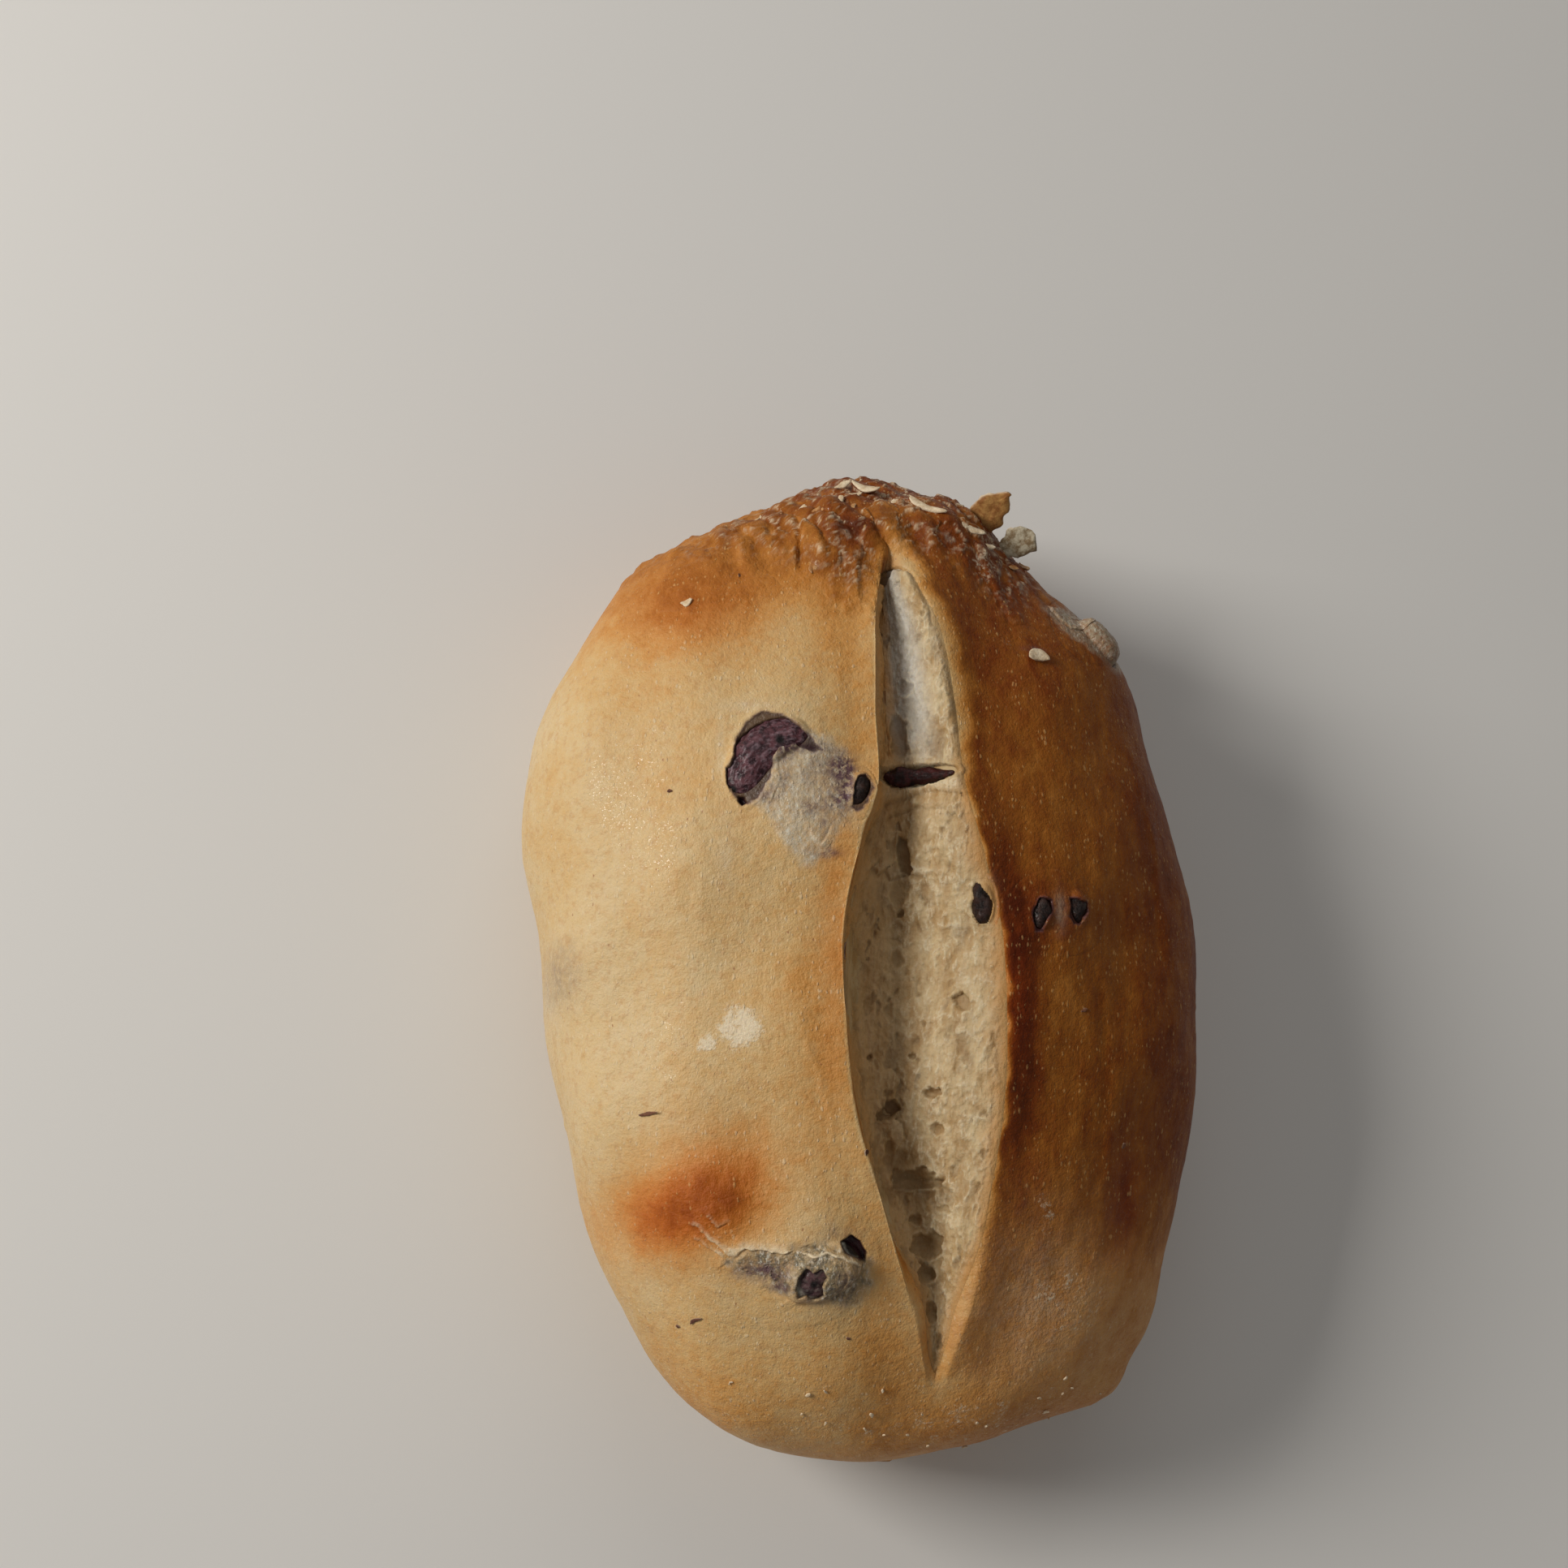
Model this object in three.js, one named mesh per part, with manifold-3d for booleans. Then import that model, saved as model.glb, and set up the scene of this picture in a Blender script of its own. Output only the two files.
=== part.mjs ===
// An oval bread roll with a lengthwise slash that has opened over the crumb, and pieces of olive
// that sit in the crust and in the slash. X runs across the roll, +Y towards its far end and +Z up.
// The roll rests on its flat base at Z = 0, with the origin under the middle of its outline.
// Every length is in millimetres and every angle in degrees.
import * as THREE from 'three';
import { mergeVertices } from 'three/addons/utils/BufferGeometryUtils.js';
import Module from 'manifold-3d';

// Size of the roll.
const HALF_LENGTH = 68;
const HEIGHT = 46;

// Colours and sheen of the two materials.
const CRUST_LOOK = { color: 0xd9b072, roughness: 0.72, metalness: 0 };
const OLIVE_LOOK = { color: 0x3a2530, roughness: 0.35, metalness: 0 };

// The flanks are widest at MID_HEIGHT. Below it they would curve in over UNDER_DEPTH, and the flat
// base cuts that curve with an edge rounded over BASE_ROUND.
const MID_HEIGHT = 18;
const UNDER_DEPTH = 25;
const BASE_ROUND = 1.6;
const BASE_ANGLE = 47;

// Powers of the rounded cross section and of the rise from each end to the middle.
const SECTION_POWER = 2.25;
const LENGTH_POWER = 2.3;

// Each flank bulges from the crown line to its width at the place where it is widest, and closes
// towards the far and the near end by a power of its own.
const CROWN_X = 0.65;
const LEFT_FLANK = { width: 46.2, widest: 27, farPower: 1.64, nearPower: 2.5 };
const RIGHT_FLANK = { width: 46.9, widest: 0, farPower: 1.82, nearPower: 2.4 };

// Where the outline swells out or draws in: place along the roll, amount outwards, spread. The
// swells fade towards both tips by SWELL_FADE, a power of the rise from the tip.
const SWELL_FADE = 0.25;
const LEFT_SWELLS = [
  { along: 63, out: -3.8, spread: 5 },
  { along: 55, out: 2.9, spread: 8 },
  { along: 18, out: 1.6, spread: 12 },
];
const RIGHT_SWELLS = [
  { along: 53, out: -2, spread: 5 },
  { along: 40.5, out: 2.2, spread: 6 },
  { along: 27, out: -1, spread: 6 },
  { along: -53, out: 3.6, spread: 8 },
  { along: -60, out: 5.8, spread: 4 },
  { along: -65.5, out: -3.2, spread: 2.5 },
];

// Stations of the slash: place along the roll, left lip, right lip and depth under the lips. Past
// its tips the lips run on as a strip of crust with no depth.
const SLASH = [
  { along: 68, left: -1.5, right: 1.5, depth: 0 },
  { along: 54, left: -1.4, right: 1.4, depth: 0 },
  { along: 48, left: -2.3, right: 2.4, depth: 3.2 },
  { along: 41, left: -3.4, right: 5.2, depth: 5.2 },
  { along: 30, left: -4.1, right: 6.7, depth: 6.2 },
  { along: 19, left: -4.1, right: 7.4, depth: 6.6 },
  { along: 12, left: -6.5, right: 9, depth: 7.2 },
  { along: 0, left: -8.8, right: 11.9, depth: 8 },
  { along: -12, left: -8.9, right: 12.4, depth: 8.2 },
  { along: -24, left: -7.5, right: 11.9, depth: 7.6 },
  { along: -35, left: -3.8, right: 10.1, depth: 6.6 },
  { along: -46, left: 0.2, right: 8.9, depth: 5 },
  { along: -53, left: 2.3, right: 7, depth: 2.8 },
  { along: -58, left: 3.6, right: 6.4, depth: 0 },
  { along: -68, left: 3, right: 6, depth: 0 },
];

// Across the slash the left wall falls steeply, the floor is short and the right side climbs
// gently. A ridge of crumb parts the slash in two, with a crease along its back.
const WALL_SHARE = 0.24;
const FLOOR_SHARE = 0.36;
const OPEN_DEPTH = 1;
const RIDGE = { along: 20.2, share: 0.26, spread: 3.4 };
const CREASE = { depth: 1.1, spread: 1.2 };
const LIP_ROLL = { left: 0.4, right: 1, leftSpread: 2.2, rightSpread: 4, fullDepth: 4 };

// Swellings of the crust: the baked blister, the dough over buried olives, the knuckled far end.
const CRUST_SWELLS = [
  { across: -25.5, along: -35.4, out: 1.3, spread: 7 },
  { across: -31, along: -38.3, out: 0.7, spread: 5 },
  { across: -18.5, along: 21, out: 0.8, spread: 8 },
  { across: -10, along: 14, out: 0.7, spread: 6 },
  { across: -12, along: -43, out: 1.2, spread: 7 },
  { across: -42, along: -4.7, out: 0.8, spread: 6 },
  { across: 19, along: 2.8, out: 0.7, spread: 7 },
  { across: -5.5, along: 56, out: 1.2, spread: 6 },
  { across: 8, along: 58, out: 1, spread: 5 },
  { across: 31.5, along: 42, out: 1.1, spread: 6 },
  { across: 27, along: 52, out: 0.6, spread: 5 },
];

// Slow unevenness of the whole crust, as waves that each run another way, in radians, and the
// knuckles of the cracked far end.
const UNEVEN = { waves: 7, shortest: 17, step: 4, amount: 0.17, turn: 2.4, climb: 0.6, phase: 1.7 };
const KNUCKLES = { from: 44, full: 60, pitch: 6.2, amount: 0.55, skew: 0.4, climb: 0.8, lean: 0.5 };

// Facets of the roll round its section and along it.
const LOAF_RINGS = 60;
const BASE_COLUMNS = 9;
const RIGHT_COLUMNS = 16;
const SLASH_COLUMNS = 18;
const LEFT_COLUMNS = 19;
const RING_CROWDING = 0.1;

// The slash's columns stand between these shares of the flank's width from the crown line.
const CROWN_SHARES = [0.01, 0.6];

// Share of the way along and round the roll over which the crust's facing is taken.
const FACING_STEP = 0.004;

// Pieces of olive: place over the roll, size, how far the piece curls, its turn about the crust's
// normal, its roll about its own length and how far its middle lies under the crust.
const OLIVES = [
  {
    name: 'olive_far_left',
    across: -19.2, along: 22.7, sink: 1.3, turn: 222, roll: 0,
    length: 13.6, width: 6.4, thick: 4.4, curl: 100,
  },
  {
    name: 'olive_left_lip',
    across: -7, along: 17.6, sink: 0.8, turn: 70, roll: 0,
    length: 4.9, width: 2.9, thick: 2.6, curl: 10,
  },
  {
    name: 'olive_in_slash',
    across: 2.6, along: 20.6, sink: 0.2, turn: 0, roll: 90,
    length: 10, width: 2.8, thick: 3, curl: 62,
  },
  {
    name: 'olive_right_lip',
    across: 9.2, along: 3.3, sink: 0.7, turn: 94, roll: 0,
    length: 5.9, width: 2.9, thick: 2.8, curl: 16,
  },
  {
    name: 'olive_right_near',
    across: 17.3, along: 2.3, sink: 0.8, turn: 76, roll: 0,
    length: 4.6, width: 2.6, thick: 2.6, curl: 20,
  },
  {
    name: 'olive_right_far',
    across: 22.7, along: 3.4, sink: 0.8, turn: 98, roll: 0,
    length: 4.4, width: 2.8, thick: 2.6, curl: 20,
  },
  {
    name: 'olive_near_left',
    across: -11.3, along: -42.9, sink: 1.2, turn: 26, roll: 0,
    length: 10.2, width: 6.4, thick: 4.4, curl: 20,
  },
  {
    name: 'olive_far_right',
    across: 30.6, along: 42.6, sink: 1, turn: -52, roll: 0,
    length: 7.4, width: 5, thick: 4.6, curl: 12,
  },
];
const OLIVE_RINGS = 13;
const OLIVE_SIDES = 10;
const OLIVE_TAPER = 2.6;
const OLIVE_WRINKLE = { amount: 0.09, along: 5, around: 3 };
const POCKET_GAP = 0.35;

// Torn shards of crust that stand up at the far end: place, size, and the way each one points.
const SHARDS = [
  { at: [15.9, 61.5, 30.4], length: 9.6, width: 5, thick: 2.4, pitch: 42, yaw: 62 },
  { at: [19.8, 57.3, 30.1], length: 7, width: 4.6, thick: 2, pitch: 22, yaw: 38 },
];
const SHARD_RINGS = 7;
const SHARD_SIDES = 8;
const SHARD_TAPER = { power: 0.55, lean: 0.18 };
const SHARD_TEAR = { amount: 0.16, along: 7, around: 2 };
const SHARD_BOW = 0.12;

const radians = THREE.MathUtils.degToRad;
const smoothstep = THREE.MathUtils.smoothstep;
const clamp = THREE.MathUtils.clamp;

const bell = (distance, spread) => Math.exp(-((distance / spread) ** 2));

// The third side of a rounded right-angled form: 1 at share 0, falling to 0 at share 1.
const rounded = (share, power) => (1 - clamp(share, 0, 1) ** power) ** (1 / power);

// Value of one field of the stations at a place along the roll, on a smooth curve through them all.
function stationValue(field, along) {
  const last = SLASH.length - 1;
  const found = SLASH.findIndex((station, i) => i === last || along >= SLASH[i + 1].along);
  const i = Math.min(found, last - 1);
  const slopeAt = (k) => {
    const before = SLASH[Math.max(k - 1, 0)];
    const after = SLASH[Math.min(k + 1, last)];
    return (after[field] - before[field]) / (after.along - before.along);
  };
  const a = SLASH[i];
  const b = SLASH[i + 1];
  const span = b.along - a.along;
  const t = (along - a.along) / span;
  return (2 * t ** 3 - 3 * t ** 2 + 1) * a[field]
    + (t ** 3 - 2 * t ** 2 + t) * span * slopeAt(i)
    + (3 * t ** 2 - 2 * t ** 3) * b[field]
    + (t ** 3 - t ** 2) * span * slopeAt(i + 1);
}

// Distance from the crown line to the outline of one flank.
function flankWidth(flank, swells, along) {
  const far = along > flank.widest;
  const reach = far ? HALF_LENGTH - flank.widest : HALF_LENGTH + flank.widest;
  const power = far ? flank.farPower : flank.nearPower;
  const fade = Math.max(1 - (along / HALF_LENGTH) ** 2, 0) ** SWELL_FADE;
  const swell = swells.reduce((sum, s) => sum + s.out * bell(along - s.along, s.spread), 0);
  return flank.width * rounded(Math.abs(along - flank.widest) / reach, power) + fade * swell;
}

const leftWidth = (along) => flankWidth(LEFT_FLANK, LEFT_SWELLS, along);
const rightWidth = (along) => flankWidth(RIGHT_FLANK, RIGHT_SWELLS, along);
const rise = (along) => rounded(Math.abs(along) / HALF_LENGTH, LENGTH_POWER);

// Depth of the slash at a share of the way from its left lip to its right lip.
function slashDepth(share, along) {
  if (share <= 0 || share >= 1) {
    return 0;
  }
  const wall = 1 - (1 - Math.min(share / WALL_SHARE, 1)) ** 2;
  const climb = 1 - smoothstep(share, FLOOR_SHARE, 1);
  const ridge = 1 - RIDGE.share * bell(along - RIDGE.along, RIDGE.spread);
  const crease = CREASE.depth * bell(along - RIDGE.along, CREASE.spread);
  const depth = Math.max(stationValue('depth', along), 0);
  const open = smoothstep(depth, 0, OPEN_DEPTH);
  return wall * climb * (depth * ridge + crease * open);
}

// The crust turns up a little along both lips.
function lipRoll(across, along) {
  const open = smoothstep(stationValue('depth', along), 0, LIP_ROLL.fullDepth);
  const left = LIP_ROLL.left * bell(across - stationValue('left', along), LIP_ROLL.leftSpread);
  const right = LIP_ROLL.right * bell(across - stationValue('right', along), LIP_ROLL.rightSpread);
  return open * Math.max(left, right);
}

// Height of the rounded roll over a place on its plan, with the slash and the lips.
function topHeight(across, along) {
  const width = across > CROWN_X ? rightWidth(along) : leftWidth(along);
  const share = Math.abs(across - CROWN_X) / width;
  const dome = MID_HEIGHT + (HEIGHT - MID_HEIGHT) * rise(along) * rounded(share, SECTION_POWER);
  const left = stationValue('left', along);
  const right = stationValue('right', along);
  return dome - slashDepth((across - left) / (right - left), along) + lipRoll(across, along);
}

const topPoint = (across, along) => new THREE.Vector3(across, along, topHeight(across, along));

// The way the crust faces, taken over a patch that reaches this far to each side.
function topNormal(across, along, step) {
  const east = topPoint(across + step, along).sub(topPoint(across - step, along));
  const north = topPoint(across, along + step).sub(topPoint(across, along - step));
  return east.cross(north).normalize();
}

const swellCentres = CRUST_SWELLS.map((swell) => topPoint(swell.across, swell.along));

// How far the uneven crust stands off the smooth form.
function relief(point) {
  let out = 0;
  CRUST_SWELLS.forEach((swell, i) => {
    out += swell.out * bell(point.distanceTo(swellCentres[i]), swell.spread);
  });
  for (let i = 0; i < UNEVEN.waves; i += 1) {
    const heading = UNEVEN.turn * i;
    const run = point.x * Math.cos(heading) + point.y * Math.sin(heading) + UNEVEN.climb * point.z;
    const length = UNEVEN.shortest + UNEVEN.step * i;
    out -= UNEVEN.amount * Math.sin((2 * Math.PI * run) / length + UNEVEN.phase * i * i);
  }
  const turn = (2 * Math.PI) / KNUCKLES.pitch;
  const alongRows = Math.sin(turn * (point.x + KNUCKLES.skew * point.y));
  const upRows = Math.sin(turn * (KNUCKLES.climb * point.z - KNUCKLES.lean * point.x));
  out += KNUCKLES.amount * smoothstep(point.y, KNUCKLES.from, KNUCKLES.full) * alongRows * upRows;
  return out;
}

// Angle round the section, from the crown line's right, at which the dome stands at a place across.
function sectionAngle(across, along) {
  const width = across > CROWN_X ? rightWidth(along) : leftWidth(along);
  const share = clamp(Math.abs(across - CROWN_X) / width, ...CROWN_SHARES);
  const angle = Math.atan((share ** -SECTION_POWER - 1) ** (1 / SECTION_POWER));
  return across > CROWN_X ? angle : Math.PI - angle;
}

const COLUMNS = BASE_COLUMNS + RIGHT_COLUMNS + SLASH_COLUMNS + LEFT_COLUMNS;

// Distance from the middle at which a rounded form of this power stands, for a unit step at an
// angle with this cosine and sine.
const roundedReach = (c, s, power) => (Math.abs(c) ** power + Math.abs(s) ** power) ** (-1 / power);

// A point of the smooth roll. The first share runs from the far end to the near end, the second
// round the section: along the base from left to right, up the right flank, over the slash from its
// right lip to its left lip, and down the left flank.
function smoothPoint(lengthShare, roundShare) {
  const spread = lengthShare + RING_CROWDING * Math.sin(2 * Math.PI * lengthShare) / Math.PI;
  const polar = Math.PI * clamp(spread, 0, 1);
  const c = Math.cos(polar);
  const along = HALF_LENGTH * c * roundedReach(c, Math.sin(polar), LENGTH_POWER);
  const left = stationValue('left', along);
  const right = stationValue('right', along);
  const baseRight = -radians(BASE_ANGLE);
  const baseLeft = radians(180 + BASE_ANGLE);
  const stops = [
    baseLeft - 2 * Math.PI,
    baseRight,
    sectionAngle(right, along),
    sectionAngle(left, along),
    baseLeft,
  ];
  const counts = [BASE_COLUMNS, RIGHT_COLUMNS, SLASH_COLUMNS, LEFT_COLUMNS];
  let column = (roundShare - Math.floor(roundShare)) * COLUMNS;
  let part = 0;
  while (part < counts.length - 1 && column > counts[part]) {
    column -= counts[part];
    part += 1;
  }
  const angle = stops[part] + (column / counts[part]) * (stops[part + 1] - stops[part]);
  const ca = Math.cos(angle);
  const sa = Math.sin(angle);
  const out = roundedReach(ca, sa, SECTION_POWER);
  const width = ca > 0 ? rightWidth(along) : leftWidth(along);
  const across = CROWN_X + width * ca * out;
  const reach = sa > 0 ? HEIGHT - MID_HEIGHT : UNDER_DEPTH;
  const level = MID_HEIGHT + reach * rise(along) * sa * out;
  if (sa <= 0) {
    return new THREE.Vector3(across, along, level);
  }
  const share = (across - left) / (right - left);
  return new THREE.Vector3(across, along, level - slashDepth(share, along) + lipRoll(across, along));
}

// Rounds the lower edge off onto the flat base.
function settleOnBase(level) {
  if (level > BASE_ROUND) {
    return level;
  }
  return level < -BASE_ROUND ? 0 : (level + BASE_ROUND) ** 2 / (4 * BASE_ROUND);
}

// A point of the crust: the smooth roll with its relief, set down on the base.
function crustPoint(lengthShare, roundShare) {
  const point = smoothPoint(lengthShare, roundShare);
  const u = clamp(lengthShare, FACING_STEP, 1 - FACING_STEP);
  const along = smoothPoint(u + FACING_STEP, roundShare).sub(smoothPoint(u - FACING_STEP, roundShare));
  const round = smoothPoint(u, roundShare + FACING_STEP).sub(smoothPoint(u, roundShare - FACING_STEP));
  const atEnd = lengthShare <= 0 || lengthShare >= 1;
  const outward = round.cross(along).normalize();
  const normal = atEnd ? new THREE.Vector3(0, Math.sign(point.y), 0) : outward;
  point.addScaledVector(normal, relief(point));
  point.z = settleOnBase(point.z);
  return point;
}

// A closed skin over a grid of rings between two poles.
function closedSkin(rings, sides, pointAt) {
  const positions = [...pointAt(0, 0).toArray()];
  for (let ring = 1; ring < rings; ring += 1) {
    for (let side = 0; side < sides; side += 1) {
      positions.push(...pointAt(ring / rings, side / sides).toArray());
    }
  }
  positions.push(...pointAt(1, 0).toArray());
  const last = positions.length / 3 - 1;
  const at = (ring, side) => 1 + (ring - 1) * sides + (side % sides);
  const faces = [];
  for (let side = 0; side < sides; side += 1) {
    faces.push(0, at(1, side + 1), at(1, side));
    faces.push(last, at(rings - 1, side), at(rings - 1, side + 1));
    for (let ring = 1; ring < rings - 1; ring += 1) {
      faces.push(at(ring, side), at(ring + 1, side + 1), at(ring + 1, side));
      faces.push(at(ring, side), at(ring, side + 1), at(ring + 1, side + 1));
    }
  }
  const geometry = new THREE.BufferGeometry();
  geometry.setAttribute('position', new THREE.Float32BufferAttribute(positions, 3));
  geometry.setIndex(faces);
  return geometry;
}

// A strip of olive flesh: a rounded bar, curled in its own plane, narrowing to both ends. Growing it
// gives the pocket that it sits in.
function oliveSkin({ length, width, thick, curl }, grow = 0) {
  const bend = radians(curl);
  const radius = length / bend;
  const wave = OLIVE_WRINKLE;
  return closedSkin(OLIVE_RINGS, OLIVE_SIDES, (lengthShare, roundShare) => {
    const polar = Math.PI * lengthShare;
    const run = -Math.cos(polar);
    const taper = Math.abs(Math.sin(polar)) ** (2 / OLIVE_TAPER);
    const angle = 2 * Math.PI * roundShare;
    const ripple = Math.sin(wave.along * run + length) * Math.cos(wave.around * angle + width);
    const swell = 1 + wave.amount * ripple;
    const side = (width / 2 * swell + grow) * Math.cos(angle) * taper;
    const up = (thick / 2 * swell + grow) * Math.sin(angle) * taper;
    const turn = run * (bend / 2 + grow / radius);
    const arm = radius - side;
    return new THREE.Vector3(arm * Math.sin(turn), radius - arm * Math.cos(turn), up);
  });
}

// Where a piece of olive lies: its place, and its turn from flat to the slope of the crust.
function olivePlace({ across, along, length, turn, roll, sink }) {
  const normal = topNormal(across, along, length / 2);
  const point = topPoint(across, along);
  point.addScaledVector(normal, relief(point) - sink);
  const tilt = new THREE.Quaternion().setFromUnitVectors(new THREE.Vector3(0, 0, 1), normal);
  const spin = new THREE.Quaternion().setFromAxisAngle(new THREE.Vector3(0, 0, 1), radians(turn));
  const lean = new THREE.Quaternion().setFromAxisAngle(new THREE.Vector3(1, 0, 0), radians(roll));
  return new THREE.Matrix4().compose(point, tilt.multiply(spin).multiply(lean), new THREE.Vector3(1, 1, 1));
}

// A torn shard of crust: a thin uneven plate, broadest near its root.
function shardSkin({ at, length, width, thick, pitch, yaw }) {
  const tear = SHARD_TEAR;
  const skin = closedSkin(SHARD_RINGS, SHARD_SIDES, (lengthShare, roundShare) => {
    const polar = Math.PI * lengthShare;
    const run = -Math.cos(polar);
    const taper = Math.sin(polar) ** SHARD_TAPER.power * (1 - SHARD_TAPER.lean * run);
    const angle = 2 * Math.PI * roundShare;
    const torn = 1 + tear.amount * Math.sin(tear.along * run + tear.around * angle + width);
    return new THREE.Vector3(
      (length / 2) * run,
      (width / 2) * taper * torn * Math.cos(angle),
      (thick / 2) * taper * Math.sin(angle) + SHARD_BOW * length * run ** 2,
    );
  });
  const turn = new THREE.Euler(0, -radians(pitch), radians(yaw), 'ZYX');
  const place = new THREE.Matrix4().makeRotationFromEuler(turn).setPosition(...at);
  return skin.applyMatrix4(place);
}

const wasm = await Module();
wasm.setup();

function toSolid(geometry) {
  const bare = geometry.clone();
  bare.deleteAttribute('normal');
  bare.deleteAttribute('uv');
  const merged = mergeVertices(bare);
  return new wasm.Manifold(new wasm.Mesh({
    numProp: 3,
    vertProperties: new Float32Array(merged.attributes.position.array),
    triVerts: new Uint32Array(merged.index.array),
  }));
}

function toGeometry(solid) {
  const mesh = solid.getMesh();
  const geometry = new THREE.BufferGeometry();
  geometry.setAttribute('position', new THREE.BufferAttribute(mesh.vertProperties, 3));
  geometry.setIndex(new THREE.BufferAttribute(mesh.triVerts, 1));
  geometry.computeVertexNormals();
  return geometry;
}

// The roll itself, with the shards grown on and a pocket for every piece of olive.
function buildLoaf() {
  let solid = toSolid(closedSkin(LOAF_RINGS, COLUMNS, crustPoint));
  SHARDS.forEach((shard) => {
    solid = solid.add(toSolid(shardSkin(shard)));
  });
  OLIVES.forEach((olive) => {
    const pocket = oliveSkin(olive, POCKET_GAP).applyMatrix4(olivePlace(olive));
    solid = solid.subtract(toSolid(pocket));
  });
  const mesh = new THREE.Mesh(toGeometry(solid), new THREE.MeshStandardMaterial(CRUST_LOOK));
  mesh.name = 'loaf';
  return mesh;
}

function buildOlive(olive) {
  const geometry = oliveSkin(olive);
  geometry.computeVertexNormals();
  const mesh = new THREE.Mesh(geometry, new THREE.MeshStandardMaterial(OLIVE_LOOK));
  mesh.name = olive.name;
  mesh.applyMatrix4(olivePlace(olive));
  return mesh;
}

const group = new THREE.Group();
group.add(buildLoaf());
const olives = new THREE.Group();
OLIVES.forEach((olive) => olives.add(buildOlive(olive)));
group.add(olives);

export default group;
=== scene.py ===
"""Looks of an oval olive bread roll: its baked crust, the crumb in its slash, olives, flour and flakes."""

import logging
import math
from dataclasses import dataclass
from enum import Enum

import bpy
import numpy as np
from mathutils import Matrix, Vector


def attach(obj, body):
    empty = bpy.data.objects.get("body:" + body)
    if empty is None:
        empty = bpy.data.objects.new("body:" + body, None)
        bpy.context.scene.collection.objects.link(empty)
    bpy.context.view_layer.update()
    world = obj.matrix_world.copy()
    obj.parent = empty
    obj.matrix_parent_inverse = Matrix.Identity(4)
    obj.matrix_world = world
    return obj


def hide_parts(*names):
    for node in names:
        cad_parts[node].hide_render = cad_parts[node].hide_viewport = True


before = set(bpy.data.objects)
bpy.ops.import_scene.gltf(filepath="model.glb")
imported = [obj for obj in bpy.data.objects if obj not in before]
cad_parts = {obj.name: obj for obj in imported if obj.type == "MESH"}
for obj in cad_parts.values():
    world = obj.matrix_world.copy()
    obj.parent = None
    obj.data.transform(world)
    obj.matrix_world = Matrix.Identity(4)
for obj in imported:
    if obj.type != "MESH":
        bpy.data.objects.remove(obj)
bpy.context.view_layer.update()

LOG = logging.getLogger("roll")
MM = 0.001
FULL_TURN = 2 * math.pi
Array = np.ndarray
Colour = tuple[float, float, float, float]
Rows = tuple[tuple[float, ...], ...]


def rising(value: Array | float, low: float, high: float) -> Array:
    """Smooth step from 0 at low to 1 at high: t * t * (3 - 2 t), with t the clipped share of the way."""
    share = np.clip((np.asarray(value, float) - low) / (high - low), 0, 1)
    return share * share * (3 - 2 * share)


def falling(value: Array | float, low: float, high: float) -> Array:
    """Smooth step from 1 at low to 0 at high."""
    return 1 - rising(value, low, high)


def bell(distance: Array | float, spread: float) -> Array:
    """Bell of height 1, e to the minus square of distance over spread."""
    return np.exp(-np.square(np.asarray(distance, float) / spread))


def rounded(share: Array, power: float) -> Array:
    """Superellipse quarter: the power-root of 1 minus share to that power."""
    return (1 - np.clip(share, 0, 1) ** power) ** (1 / power)


def spin(degrees: float, axis: str) -> Matrix:
    """Turn by an angle about an axis."""
    return Matrix.Rotation(math.radians(degrees), 3, axis)


def hashed(cells: Array, seed: int) -> Array:
    """Number from 0 to 1 for each whole-numbered cell.

    Args:
        cells: Whole numbers, three in the last axis.
        seed: Picks the pattern.

    Returns:
        The cell's numbers multiplied, added and bit-mixed to one number, without the last axis.
    """
    mixed = cells.astype(np.int64) @ np.array([374761393, 668265263, 1103515245]) + seed * 97531 & 0xFFFFFFFF
    for shift, factor in ((13, 1274126177), (15, 2246822519)):
        mixed = (mixed ^ (mixed >> shift)) * factor & 0xFFFFFFFF
    return (mixed ^ (mixed >> 16)) / 0xFFFFFFFF


def smooth(points: Array, seed: int) -> Array:
    """Smooth noise from -1 to 1 with features one unit wide.

    Args:
        points: Places in units of the feature size, three numbers in the last axis.
        seed: Picks the pattern.

    Returns:
        The hashed values of the eight cell corners round each place, blended by a quintic share.
    """
    base = np.floor(points)
    share = points - base
    share = share ** 3 * (share * (share * 6 - 15) + 10)
    total = np.zeros(points.shape[:-1])
    for corner in np.ndindex(2, 2, 2):
        total += np.prod(np.where(corner, share, 1 - share), axis=-1) * hashed(base + corner, seed)
    return 2 * total - 1


def layered(points: Array, octaves: int, seed: int) -> Array:
    """Sum of smooth noises, each of half the size and half the height of the one before.

    Args:
        points: Places in units of the largest feature.
        octaves: Number of noises added.
        seed: Picks the pattern.

    Returns:
        Values from about -1 to 1.
    """
    total = sum(0.5 ** octave * smooth(points * 2 ** octave, seed + 17 * octave) for octave in range(octaves))
    return total / (2 - 0.5 ** (octaves - 1))


def scattered_points(points: Array, seed: int) -> tuple[Array, Array]:
    """Cellular pattern with one scattered point to a unit cell.

    Args:
        points: Places in units of the cell size.
        seed: Picks the pattern.

    Returns:
        Distance to the nearest scattered point, and a number from 0 to 1 that its cell has for its own.
    """
    base = np.floor(points)
    first, own = np.full(points.shape[:-1], 9.0), np.zeros(points.shape[:-1])
    for near in np.ndindex(3, 3, 3):
        cell = base + near - 1
        jitter = np.stack([hashed(cell, seed + axis) for axis in range(3)], axis=-1)
        distance = np.linalg.norm(cell + jitter - points, axis=-1)
        own = np.where(distance < first, jitter[..., 0], own)
        first = np.minimum(first, distance)
    return first, own


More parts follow.
